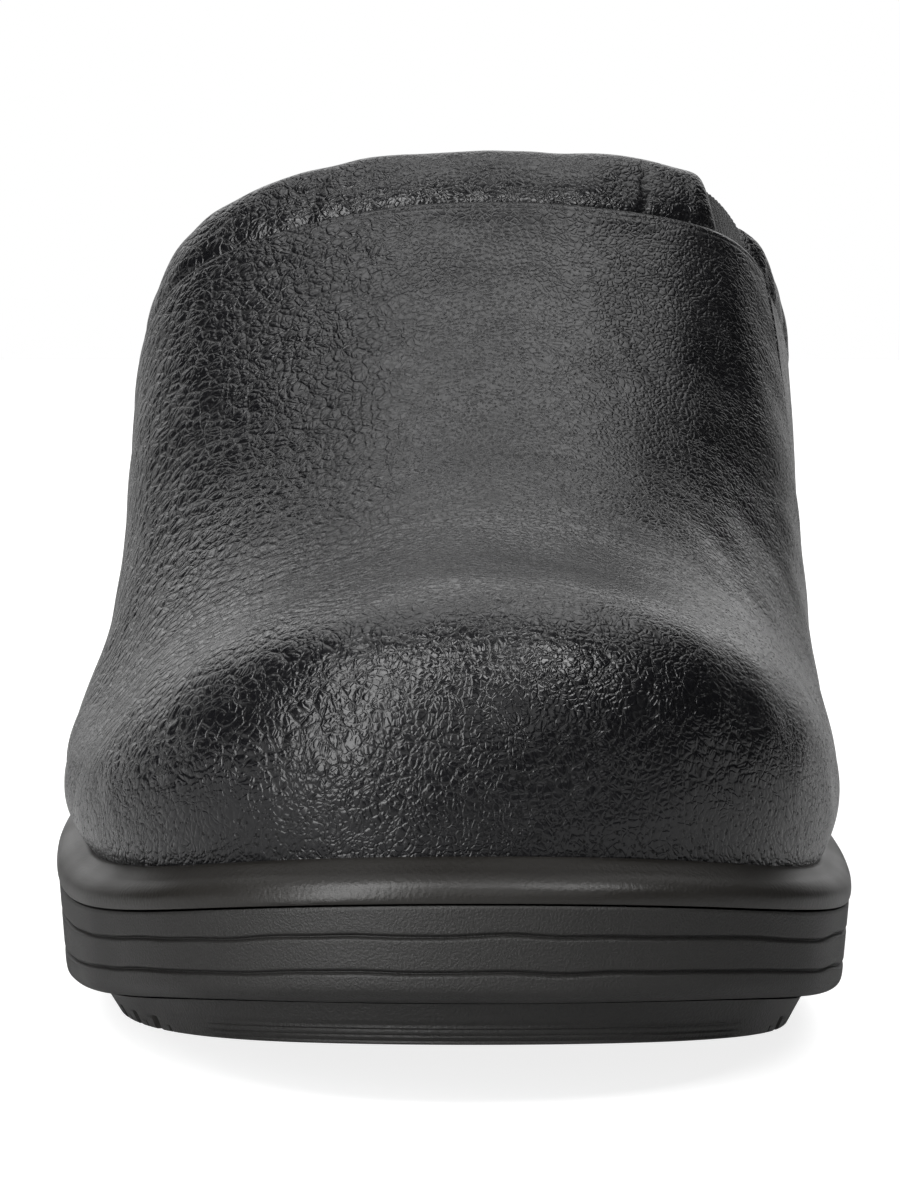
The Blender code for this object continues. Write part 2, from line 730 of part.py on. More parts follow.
def make_gore(material):
    """A thin panel behind the slit, as wide as the gap between the collar ends and wider below."""
    margin = topline_share(GORE_MARGIN)
    neck_half = GORE_HALF - topline_share(FIT_GAP)
    offsets = np.array([-GORE_HALF - margin, -neck_half, 0.0, neck_half, GORE_HALF + margin])
    length = profile_length(GORE_AROUND)
    seam = float(seam_up(GORE_AROUND))
    bottom = seam * row_shares()[UPPER_ROWS - SLIT_ROWS] - GORE_MARGIN / length
    neck = seam - GORE_NECK / length
    top = 1.0 - GORE_TOP_DROP / length
    up = np.concatenate([np.linspace(bottom, neck, GORE_ROWS), np.linspace(neck, top, GORE_NECK_ROWS)[1:]])
    around = np.tile(GORE_AROUND + offsets, (len(up), 1))
    points, _, out = last_frame(around, up[:, None])
    outer = points - out * (UPPER_WALL + GORE_GAP)
    inner = points - out * (UPPER_WALL + GORE_GAP + GORE_THICKNESS)
    keep = np.ones((len(up) - 1, len(offsets) - 1), bool)
    keep[GORE_ROWS - 1:, [0, -1]] = False
    return panel_solid("gore", row_frame(outer), row_frame(inner), keep, material)


def main():
    for old in list(bpy.data.objects):
        bpy.data.objects.remove(old)
    leather = new_material("black_leather", (0.022, 0.022, 0.024), 0.45)
    collar_leather = new_material("collar_leather", (0.022, 0.022, 0.024), 0.42)
    elastic = new_material("black_elastic", (0.012, 0.012, 0.013), 0.85)
    rim_rubber = new_material("rim_rubber", (0.030, 0.029, 0.027), 0.40)
    side_rubber = new_material("side_rubber", (0.024, 0.024, 0.024), 0.60)
    tread_rubber = new_material("tread_rubber", (0.020, 0.020, 0.020), 0.65)
    footbed = new_material("footbed_cover", (0.030, 0.030, 0.032), 0.70)
    make_outsole(tread_rubber)
    make_midsole(side_rubber)
    make_welt(rim_rubber)
    make_insole(footbed)
    make_upper(leather)
    make_collars(collar_leather)
    make_gore(elastic)


main()
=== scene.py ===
"""Looks of a right-foot slip-on mule in black pebbled leather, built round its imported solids.

The sole and the last repeat the forms of the solids, in millimetres, and every finer shape is
worked out on them: the padded collar, creases, seams, stitches, ribs and tread.
"""

from __future__ import annotations

import logging
import math
from dataclasses import dataclass, field
from enum import Enum
from typing import Any, NamedTuple, Sequence, Union

import bpy
import numpy as np
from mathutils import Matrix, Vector


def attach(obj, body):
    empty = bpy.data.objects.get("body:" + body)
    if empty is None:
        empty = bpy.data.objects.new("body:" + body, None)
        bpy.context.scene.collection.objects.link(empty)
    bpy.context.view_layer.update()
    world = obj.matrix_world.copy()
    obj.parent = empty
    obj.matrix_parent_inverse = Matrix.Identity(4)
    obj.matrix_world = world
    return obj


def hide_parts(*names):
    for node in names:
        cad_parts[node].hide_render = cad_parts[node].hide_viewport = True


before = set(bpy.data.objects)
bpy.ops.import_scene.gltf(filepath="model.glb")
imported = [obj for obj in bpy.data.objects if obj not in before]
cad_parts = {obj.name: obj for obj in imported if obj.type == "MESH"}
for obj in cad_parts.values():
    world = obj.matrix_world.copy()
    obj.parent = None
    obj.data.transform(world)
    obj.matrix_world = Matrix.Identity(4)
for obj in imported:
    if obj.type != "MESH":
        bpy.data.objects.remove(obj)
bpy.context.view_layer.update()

LOG = logging.getLogger("mule")
MM = 0.001
MERGE_DISTANCE = 2e-7
BEVEL_ANGLE = 55.0
SHARP_ANGLE = 50.0


# Curves

def smooth_step(share: Any) -> np.ndarray:
    """Ease from 0 to 1 and hold both ends."""
    share = np.clip(share, 0.0, 1.0)
    return share * share * (3.0 - 2.0 * share)


def hump(distance: Any, width: float) -> np.ndarray:
    """A soft bell that is 1 in the middle and fades over the width."""
    return np.exp(-(np.asarray(distance) / width) ** 2)


def unit(vectors: np.ndarray) -> np.ndarray:
    """Vectors brought to length 1."""
    return vectors / np.linalg.norm(vectors, axis=-1, keepdims=True)


def run_along(points: np.ndarray) -> np.ndarray:
    """Distance of each point from the first, measured along the path."""
    return np.concatenate([[0.0], np.cumsum(np.linalg.norm(np.diff(points, axis=0), axis=-1))])


def signed_power(values: np.ndarray, power: float) -> np.ndarray:
    """Values raised to a power, with their signs kept."""
    return np.sign(values) * np.abs(values) ** power


class Spline:
    """A natural cubic spline through rows of values."""

    def __init__(self, knots: Sequence[float], values: Any) -> None:
        """Solve the spline's bends.

        Args:
            knots: Rising parameter of each row.
            values: One value or one row of values for each knot.
        """
        self.knots = np.asarray(knots, float)
        self.values = np.asarray(values, float).reshape(len(self.knots), -1)
        self.gaps = np.diff(self.knots)
        slopes = np.diff(self.values, axis=0) / self.gaps[:, None]
        count = len(self.knots)
        system = np.eye(count)
        right = np.zeros_like(self.values)
        for i in range(1, count - 1):
            system[i, i - 1:i + 2] = self.gaps[i - 1], 2.0 * (self.gaps[i - 1] + self.gaps[i]), self.gaps[i]
            right[i] = 6.0 * (slopes[i] - slopes[i - 1])
        self.bends = np.linalg.solve(system, right)

    def __call__(self, at: Any) -> np.ndarray:
        """Read the spline.

        Args:
            at: Parameters of any shape.

        Returns:
            The values, with one more axis than the parameters.
        """
        at = np.asarray(at, float)
        i = np.clip(np.searchsorted(self.knots, at) - 1, 0, len(self.knots) - 2)
        gap = self.gaps[i][..., None]
        right = ((at - self.knots[i]) / self.gaps[i])[..., None]
        left = 1.0 - right
        bend = (left ** 3 - left) * self.bends[i] + (right ** 3 - right) * self.bends[i + 1]
        return left * self.values[i] + right * self.values[i + 1] + bend * gap ** 2 / 6.0


def clamped_basis(shares: np.ndarray) -> np.ndarray:
    """Weights of the six control points of a clamped cubic B-spline.

    Args:
        shares: Parameters from 0 to 1.

    Returns:
        One row of six weights for each share.
    """
    knots = np.array([0.0, 0.0, 0.0, 0.0, 1.0, 2.0, 3.0, 3.0, 3.0, 3.0]) / 3.0
    spans = len(knots) - 1
    at = np.minimum(shares, 1.0 - 1e-9)
    weights = [((knots[i] <= at) & (at < knots[i + 1])).astype(float) for i in range(spans)]
    for degree in (1, 2, 3):
        raised = []
        for i in range(spans - degree):
            left_run = knots[i + degree] - knots[i]
            right_run = knots[i + degree + 1] - knots[i + 1]
            left = (at - knots[i]) / left_run * weights[i] if left_run else 0.0
            right = (knots[i + degree + 1] - at) / right_run * weights[i + 1] if right_run else 0.0
            raised.append(left + right)
        weights = raised
    return np.stack(weights, axis=-1)


class SoftWaves:
    """A seeded sum of plane waves, used for the gentle unevenness of leather."""

    def __init__(self, seed: int, shortest: float, longest: float, count: int = 40) -> None:
        """Draw the waves.

        Args:
            seed: Seed of the draw.
            shortest: Shortest wavelength.
            longest: Longest wavelength.
            count: How many waves are summed.
        """
        draw = np.random.default_rng(seed)
        lengths = draw.uniform(shortest, longest, count)
        self.waves = unit(draw.normal(size=(count, 3))) * (2.0 * math.pi / lengths)[:, None]
        self.phases = draw.uniform(0.0, 2.0 * math.pi, count)

    def __call__(self, points: np.ndarray) -> np.ndarray:
        """Read the sum at points, with a spread of about 1 either way."""
        return np.sin(points @ self.waves.T + self.phases).sum(axis=-1) / math.sqrt(len(self.phases) / 2.0)


# Forms of the sole and the last, as in the solids

class Side(Enum):
    """The two sides of the shoe."""

    LATERAL = "lateral"
    MEDIAL = "medial"


class SoleStation(NamedTuple):
    """Half-widths of the sole on each side of the centre line."""

    from_heel: float
    lateral: float
    medial: float


class RimStation(NamedTuple):
    """Height of the sole's rim above the floor."""

    from_heel: float
    height: float


class ToplinePoint(NamedTuple):
    """Where a last profile starts on the sole and where it ends on the topline."""

    foot_from_heel: float
    top_x: float
    top_from_heel: float
    top_height: float


class LastProfile(NamedTuple):
    """Inner control points of one profile: share of the way in, share of the way up, and swell."""

    reach: tuple
    rise: tuple
    swell: tuple


SOLE_STATIONS = (
    SoleStation(from_heel=3.0, lateral=12.5, medial=15.5),
    SoleStation(from_heel=12.0, lateral=24.5, medial=27.0),
    SoleStation(from_heel=30.0, lateral=34.0, medial=35.8),
    SoleStation(from_heel=52.0, lateral=38.0, medial=39.2),
    SoleStation(from_heel=82.0, lateral=40.4, medial=40.8),
    SoleStation(from_heel=112.0, lateral=43.0, medial=42.2),
    SoleStation(from_heel=142.0, lateral=47.2, medial=43.6),
    SoleStation(from_heel=168.0, lateral=51.3, medial=45.8),
    SoleStation(from_heel=188.0, lateral=51.9, medial=48.0),
    SoleStation(from_heel=208.0, lateral=50.3, medial=48.4),
    SoleStation(from_heel=227.0, lateral=45.8, medial=46.4),
    SoleStation(from_heel=244.0, lateral=37.6, medial=39.6),
    SoleStation(from_heel=257.0, lateral=24.6, medial=27.0),
)
RIM_STATIONS = (
    RimStation(from_heel=0.0, height=45.0),
    RimStation(from_heel=45.0, height=44.0),
    RimStation(from_heel=80.0, height=40.0),
    RimStation(from_heel=115.0, height=32.6),
    RimStation(from_heel=150.0, height=26.2),
    RimStation(from_heel=185.0, height=23.8),
    RimStation(from_heel=215.0, height=24.2),
    RimStation(from_heel=240.0, height=27.4),
    RimStation(from_heel=264.0, height=32.4),
)
LATERAL_TOPLINE = (
    ToplinePoint(foot_from_heel=60.0, top_x=-35.0, top_from_heel=58.0, top_height=51.8),
    ToplinePoint(foot_from_heel=104.0, top_x=-41.3, top_from_heel=97.0, top_height=66.5),
    ToplinePoint(foot_from_heel=150.0, top_x=-38.6, top_from_heel=125.0, top_height=88.2),
    ToplinePoint(foot_from_heel=202.0, top_x=-26.7, top_from_heel=139.5, top_height=100.3),
    ToplinePoint(foot_from_heel=243.0, top_x=-12.0, top_from_heel=143.8, top_height=104.8),
)
TOE_TOPLINE = ToplinePoint(foot_from_heel=264.0, top_x=2.5, top_from_heel=144.6, top_height=105.7)
MEDIAL_TOPLINE = (
    ToplinePoint(foot_from_heel=62.0, top_x=36.0, top_from_heel=60.0, top_height=51.8),
    ToplinePoint(foot_from_heel=106.0, top_x=42.0, top_from_heel=98.0, top_height=74.5),
    ToplinePoint(foot_from_heel=150.0, top_x=37.9, top_from_heel=122.0, top_height=92.3),
    ToplinePoint(foot_from_heel=205.0, top_x=27.5, top_from_heel=138.5, top_height=103.1),
    ToplinePoint(foot_from_heel=243.0, top_x=15.0, top_from_heel=143.8, top_height=105.5),
)
END_PROFILE = LastProfile((0.10, 0.30, 0.60, 0.85), (0.25, 0.50, 0.72, 0.90), (0.5, 0.5, 0.3, 0.0))
LATERAL_PROFILES = (
    END_PROFILE,
    LastProfile((0.05, 0.20, 0.50, 0.80), (0.18, 0.44, 0.71, 0.90), (1.5, 1.6, 1.4, 0.6)),
    LastProfile((0.00, 0.28, 0.52, 0.80), (0.08, 0.28, 0.64, 0.88), (4.4, 0.3, 0.9, 0.7)),
    LastProfile((0.00, 0.22, 0.46, 0.77), (0.07, 0.20, 0.42, 0.78), (5.4, 0.6, 0.0, 0.0)),
    LastProfile((0.00, 0.02, 0.36, 0.74), (0.10, 0.315, 0.315, 0.65), (3.4, 1.8, 0.0, 0.0)),
)
TOE_PROFILE = LastProfile((0.00, -0.02, 0.34, 0.74), (0.15, 0.48, 0.35, 0.64), (2.6, 1.2, 0.0, 0.0))
MEDIAL_PROFILES = (
    END_PROFILE,
    LastProfile((0.05, 0.20, 0.50, 0.80), (0.18, 0.44, 0.71, 0.90), (3.6, 3.8, 2.6, 0.8)),
    LastProfile((0.02, 0.20, 0.46, 0.76), (0.10, 0.34, 0.67, 0.88), (4.2, 3.8, 3.0, 1.4)),
    LastProfile((0.00, 0.14, 0.45, 0.76), (0.07, 0.20, 0.42, 0.78), (3.8, 1.2, 0.4, 0.2)),
    LastProfile((0.00, 0.02, 0.36, 0.74), (0.11, 0.34, 0.32, 0.66), (3.2, 1.6, 0.0, 0.0)),
)


@dataclass
class SoleForm:
    """Outline and height lines of the sole, measured forward from the back of the heel."""

    length: float = 264.0
    heel_tip_x: float = 1.5
    toe_tip_x: float = 2.5
    heel_flat: tuple = (14.0, 70.0)
    ball_flat: tuple = (118.0, 180.0)
    heel_bevel: float = 4.0
    arch_rise: float = 5.5
    toe_spring: float = 8.4
    toe_spring_power: float = 1.1
    tread_thickness: float = 2.9
    toe_tread_extra: float = 2.5
    toe_tread_start: float = 195.0
    welt_width: float = 4.6
    welt_height: float = 5.2
    gap: float = 0.3
    samples: int = 1600
    outline: Spline = field(init=False)
    toe_share: float = field(init=False)
    rim_line: Spline = field(init=False)
    centre: np.ndarray = field(init=False)

    def __post_init__(self) -> None:
        """Lay the closed outline through the stations and find the middle of its box."""
        lateral = [(-row.lateral, row.from_heel) for row in SOLE_STATIONS]
        medial = [(row.medial, row.from_heel) for row in reversed(SOLE_STATIONS)]
        points = np.array([(self.heel_tip_x, 0.0), *lateral, (self.toe_tip_x, self.length), *medial])
        chords = np.linalg.norm(np.diff(np.vstack([points, points[:1]]), axis=0), axis=1)
        knots = np.concatenate([[0.0], np.cumsum(chords)[:-1]]) / chords.sum()
        self.outline = Spline(np.concatenate([knots - 1.0, knots, knots + 1.0]), np.vstack([points] * 3))
        self.toe_share = float(knots[len(SOLE_STATIONS) + 1])
        self.rim_line = Spline([row.from_heel for row in RIM_STATIONS], [row.height for row in RIM_STATIONS])
        span = self.outline(np.linspace(0.0, 1.0, self.samples))
        self.centre = (span.min(axis=0) + span.max(axis=0)) / 2.0

    def outward(self, share: np.ndarray) -> np.ndarray:
        """Outward direction of the outline in plan."""
        step = 1e-4
        run = self.outline(share + step) - self.outline(share - step)
        return unit(np.stack([-run[..., 1], run[..., 0]], axis=-1))

    def inset(self, share: np.ndarray, inset: Any) -> np.ndarray:
        """Points set in from the outline in plan."""
        return self.outline(share) - self.outward(share) * np.broadcast_to(inset, share.shape)[..., None]

    def rim(self, from_heel: np.ndarray) -> np.ndarray:
        """Height of the rim above the floor."""
        return self.rim_line(np.clip(from_heel, 0.0, self.length))[..., 0]

    def ground(self, from_heel: np.ndarray) -> np.ndarray:
        """Height of the tread: bevelled heel, flat heel seat, arch, flat ball and toe spring."""
        back = np.clip(1.0 - from_heel / self.heel_flat[0], 0.0, 1.0)
        under = np.clip((from_heel - self.heel_flat[1]) / (self.ball_flat[0] - self.heel_flat[1]), 0.0, 1.0)
        front = np.clip((from_heel - self.ball_flat[1]) / (self.length - self.ball_flat[1]), 0.0, 1.0)
        arch = self.arch_rise * np.sin(math.pi * under) ** 2
        return self.heel_bevel * back ** 2 + arch + self.toe_spring * front ** self.toe_spring_power

    def tread_top(self, from_heel: np.ndarray) -> np.ndarray:
        """Height of the top of the tread layer, which is thickest at the toe."""
        toe = smooth_step((from_heel - self.toe_tread_start) / (self.length - self.toe_tread_start))
        return self.ground(from_heel) + self.tread_thickness + self.toe_tread_extra * toe

    def side_top(self, from_heel: np.ndarray) -> np.ndarray:
        """Height of the top of the side wall, under the rim."""
        return self.rim(from_heel) - self.welt_height - self.gap

    def side_bottom(self, from_heel: np.ndarray) -> np.ndarray:
        """Height of the bottom of the side wall, over the tread."""
        return self.tread_top(from_heel) + self.gap

    def share_at(self, from_heel: Any, side: Side) -> np.ndarray:
        """Outline share at a distance from the heel.

        Args:
            from_heel: One or more distances.
            side: The side of the shoe.

        Returns:
            Shares of the same shape.
        """
        low, high = (self.toe_share, 1.0) if side is Side.MEDIAL else (0.0, self.toe_share)
        shares = np.linspace(low, high, self.samples)
        along = self.outline(shares)[:, 1]
        order = np.argsort(along)
        return np.interp(from_heel, along[order], shares[order])

    def ring_shares(self, stations: np.ndarray) -> np.ndarray:
        """Outline shares up the lateral side and back down the medial side.

        Args:
            stations: Rising distances from the heel, from 0 to the full length.

        Returns:
            A closed ring of shares, the last equal to 1 and so at the same spot as the first.
        """
        lateral = self.share_at(stations, Side.LATERAL)
        medial = self.share_at(stations, Side.MEDIAL)
        lateral[[0, -1]] = 0.0, self.toe_share
        medial[0] = 1.0
        return np.concatenate([lateral, medial[-2::-1]])

    def row_frame(self, points: np.ndarray) -> np.ndarray:
        """Points (x, from heel, height) in millimetres as points of the row frame in metres."""
        x = points[..., 0] - self.centre[0]
        y = self.centre[1] - points[..., 1]
        return np.stack([x, y, points[..., 2]], axis=-1) * MM

    @staticmethod
    def row_direction(vectors: np.ndarray) -> np.ndarray:
        """Directions (x, from heel, height) as directions of the row frame."""
        return vectors * np.array([1.0, -1.0, 1.0])


@dataclass
class LastForm:
    """The surface of the last, from the foot of the upper to the topline.

    around runs from the lateral end over the toe to the medial end, and up from the rim to the
    topline, both from 0 to 1.
    """

    sole: SoleForm
    collar_rise: float = 11.0
    collar_share: float = 0.6
    around_samples: int = 1201
    up_samples: int = 301
    profile_samples: int = 121
    points: np.ndarray = field(init=False)
    normals: np.ndarray = field(init=False)
    lengths: np.ndarray = field(init=False)
    foot_shares: np.ndarray = field(init=False)
    foot_run: np.ndarray = field(init=False)
    topline: Spline = field(init=False)

    def __post_init__(self) -> None:
        """Work out a fine table of the surface and its normals."""
        sole = self.sole
        start = sole.share_at(LATERAL_TOPLINE[0].foot_from_heel, Side.LATERAL)
        end = sole.share_at(MEDIAL_TOPLINE[0].foot_from_heel, Side.MEDIAL)
        self.foot_shares = np.linspace(start, end, sole.samples)
        run = run_along(sole.inset(self.foot_shares, self.foot_inset()))
        self.foot_run = run / run[-1]
        lateral = [float(self.around_at(row.foot_from_heel, Side.LATERAL)) for row in LATERAL_TOPLINE]
        medial = [float(self.around_at(row.foot_from_heel, Side.MEDIAL)) for row in reversed(MEDIAL_TOPLINE)]
        knots = [*lateral, float(np.interp(sole.toe_share, self.foot_shares, self.foot_run)), *medial]
        tops = [row[1:] for row in (*LATERAL_TOPLINE, TOE_TOPLINE, *reversed(MEDIAL_TOPLINE))]
        profiles = (*LATERAL_PROFILES, TOE_PROFILE, *reversed(MEDIAL_PROFILES))
        self.topline = Spline(knots, tops)
        self.fill_table(Spline(knots, [row.reach + row.rise + row.swell for row in profiles]))

    def foot_inset(self) -> float:
        """How far the foot of the upper stands in from the sole's outline."""
        return self.sole.welt_width + self.sole.gap

    def around_at(self, from_heel: float, side: Side) -> np.ndarray:
        """Share of the way round the upper at a distance from the heel."""
        return np.interp(self.sole.share_at(from_heel, side), self.foot_shares, self.foot_run)

    def fill_table(self, shapes: Spline) -> None:
        """Work out the table of points, normals and profile lengths.

        Args:
            shapes: Control values of the profiles along the way round.
        """
        around = np.linspace(0.0, 1.0, self.around_samples)
        share = np.interp(around, self.foot_run, self.foot_shares)
        foot = self.sole.inset(share, self.foot_inset())
        base = self.sole.rim(self.sole.outline(share)[:, 1])
        top = self.topline(around)
        shape = shapes(around)
        basis = clamped_basis(np.linspace(0.0, 1.0, self.profile_samples))
        nought, one = np.zeros((len(around), 1)), np.ones((len(around), 1))
        reach = np.hstack([nought, shape[:, 0:4], one]) @ basis.T
        rise = np.hstack([nought, shape[:, 4:8], one]) @ basis.T
        swell = np.hstack([nought, shape[:, 8:12], nought]) @ basis.T
        plan = foot[:, None] + (top[:, None, :2] - foot[:, None]) * reach[..., None]
        plan += self.sole.outward(share)[:, None] * swell[..., None]
        height = base[:, None] + (top[:, 2:] - base[:, None]) * rise
        raw = np.concatenate([plan, height[..., None]], axis=-1)
        runs = np.hstack([nought, np.cumsum(np.linalg.norm(np.diff(raw, axis=1), axis=-1), axis=1)])
        self.lengths = runs[:, -1]
        levels = np.linspace(0.0, 1.0, self.up_samples)
        self.points = np.empty((len(around), self.up_samples, 3))
        for i in range(len(around)):
            for axis in range(3):
                self.points[i, :, axis] = np.interp(levels * runs[i, -1], runs[i], raw[i, :, axis])
        self.normals = unit(np.cross(np.gradient(self.points, axis=1), np.gradient(self.points, axis=0)))

    def at(self, around: Any, up: Any) -> tuple[np.ndarray, np.ndarray]:
        """Read the surface.

        Args:
            around: Shares of the way round.
            up: Shares of the way up, of a shape that goes with around.

        Returns:
            Points and outward normals.
        """
        around, up = np.broadcast_arrays(np.asarray(around, float), np.asarray(up, float))
        i_spot = np.clip(around, 0.0, 1.0) * (self.around_samples - 1)
        j_spot = np.clip(up, 0.0, 1.0) * (self.up_samples - 1)
        i = np.minimum(i_spot.astype(int), self.around_samples - 2)
        j = np.minimum(j_spot.astype(int), self.up_samples - 2)
        u, v = (i_spot - i)[..., None], (j_spot - j)[..., None]
        found = []
        for table in (self.points, self.normals):
            low = table[i, j] * (1.0 - u) + table[i + 1, j] * u
            high = table[i, j + 1] * (1.0 - u) + table[i + 1, j + 1] * u
            found.append(low * (1.0 - v) + high * v)
        return found[0], unit(found[1])

    def length(self, around: Any) -> np.ndarray:
        """Length of the profile from the rim to the topline."""
        return np.interp(around, np.linspace(0.0, 1.0, self.around_samples), self.lengths)

    def collar_height(self, around: Any) -> np.ndarray:
        """Height of the collar roll along the profile, less where the wall runs out."""
        return np.minimum(self.collar_rise, self.collar_share * self.length(around))

    def seam(self, around: Any) -> np.ndarray:
        """Where the wall ends and the collar starts, as a share of the profile."""
        return 1.0 - self.collar_height(around) / self.length(around)


# Making meshes

def grid_piece(name: str, points: np.ndarray, outside: bool = True) -> bpy.types.Object:
    """Add a grid and carry its corners to a sheet of points.

    Args:
        name: Name of the piece.
        points: Rows of points in metres. Ends that meet are merged, which closes a ring.
        outside: False turns the faces over.

    Returns:
        The new object, at the origin.
    """
    rows, columns = points.shape[:2]
    bpy.ops.object.select_all(action="DESELECT")
    bpy.ops.mesh.primitive_grid_add(x_subdivisions=columns - 1, y_subdivisions=rows - 1, size=1.0)
    piece = bpy.context.active_object
    piece.name = name
    piece.data.name = name
    piece.data.vertices.foreach_set("co", points.astype(np.float32).ravel())
    piece.data.update()
    bpy.ops.object.mode_set(mode="EDIT")
    bpy.ops.mesh.select_all(action="SELECT")
    bpy.ops.mesh.remove_doubles(threshold=MERGE_DISTANCE)
    bpy.ops.mesh.dissolve_degenerate(threshold=MERGE_DISTANCE)
    if not outside:
        bpy.ops.mesh.flip_normals()
    bpy.ops.object.mode_set(mode="OBJECT")
    bpy.ops.object.shade_smooth()
    return piece


def smooth_shading(sharp_angle: float = SHARP_ANGLE) -> None:
    """Shade the active piece smooth, apart from edges sharper than an angle in degrees."""
    bpy.ops.object.shade_smooth_by_angle(angle=math.radians(sharp_angle))


def apply_modifier(piece: bpy.types.Object, kind: str, **settings: Any) -> None:
    """Add one modifier and apply it.

    Args:
        piece: The object to change.
        kind: Type of the modifier.
        **settings: Its settings.
    """
    bpy.ops.object.select_all(action="DESELECT")
    piece.select_set(True)
    bpy.context.view_layer.objects.active = piece
    modifier = piece.modifiers.new(kind.lower(), kind)
    for key, value in settings.items():
        setattr(modifier, key, value)
    bpy.ops.object.modifier_apply(modifier=modifier.name)


def thicken(piece: bpy.types.Object, thickness: float, edge: float = 0.0) -> None:
    """Give a sheet its thickness inwards, and round its cut edges.

    Args:
        piece: The sheet, with its faces pointing out.
        thickness: Thickness in millimetres.
        edge: Radius of the cut edges in millimetres.
    """
    apply_modifier(piece, "SOLIDIFY", thickness=thickness * MM, offset=-1.0, use_even_offset=False)
    if edge:
        apply_modifier(piece, "BEVEL", width=edge * MM, segments=2, limit_method="ANGLE",
                       angle_limit=math.radians(BEVEL_ANGLE), harden_normals=False)
    smooth_shading()


def joined_copies(name: str, model: bpy.types.Object, spots: np.ndarray,
                  axes: np.ndarray) -> bpy.types.Object:
    """Copy a small model to many spots, all in one mesh.

    Args:
        name: Name of the joined piece.
        model: The model, whose mesh is in metres. It is removed.
        spots: Place of each copy, in metres.
        axes: Three directions of each copy, one row each.

    Returns:
        The joined object.
    """
    corners = np.array([corner.co for corner in model.data.vertices])
    faces = [list(face.vertices) for face in model.data.polygons]
    points = np.einsum("vk,nkd->nvd", corners, axes) + spots[:, None]
    every_face = [[corner + i * len(corners) for corner in face] for i in range(len(spots)) for face in faces]
    mesh = bpy.data.meshes.new(name)
    mesh.from_pydata(points.reshape(-1, 3).tolist(), [], every_face)
    mesh.shade_smooth()
    piece = bpy.data.objects.new(name, mesh)
    bpy.context.scene.collection.objects.link(piece)
    bpy.data.objects.remove(model)
    return piece


# Shader building

Value = Union["Sock", float]

# Sockets of a Mix node that is set to colours
MIX_SHARE = 0
MIX_FIRST = 6
MIX_SECOND = 7
MIX_RESULT = 2

# Where most of a noise texture's values lie
NOISE_SPAN = (0.3, 0.7)


class Sock:
    """A node's output that takes part in Python expressions."""

    def __init__(self, sheet: "NodeSheet", socket: bpy.types.NodeSocket) -> None:
        """Wrap one output socket of a node sheet."""
        self.sheet = sheet
        self.socket = socket

    def maths(self, operation: str, first: Value, second: Value) -> "Sock":
        """Add a Math node for two values."""
        return self.sheet.node("ShaderNodeMath", {"operation": operation}, {0: first, 1: second})

    def __add__(self, other: Value) -> "Sock":
        """Sum of two values."""
        return self.maths("ADD", self, other)

    def __sub__(self, other: Value) -> "Sock":
        """Difference of two values."""
        return self.maths("SUBTRACT", self, other)

    def __rsub__(self, other: Value) -> "Sock":
        """Difference from a plain number."""
        return self.maths("SUBTRACT", other, self)

    def __mul__(self, other: Value) -> "Sock":
        """Product of two values."""
        return self.maths("MULTIPLY", self, other)

    __radd__ = __add__
    __rmul__ = __mul__


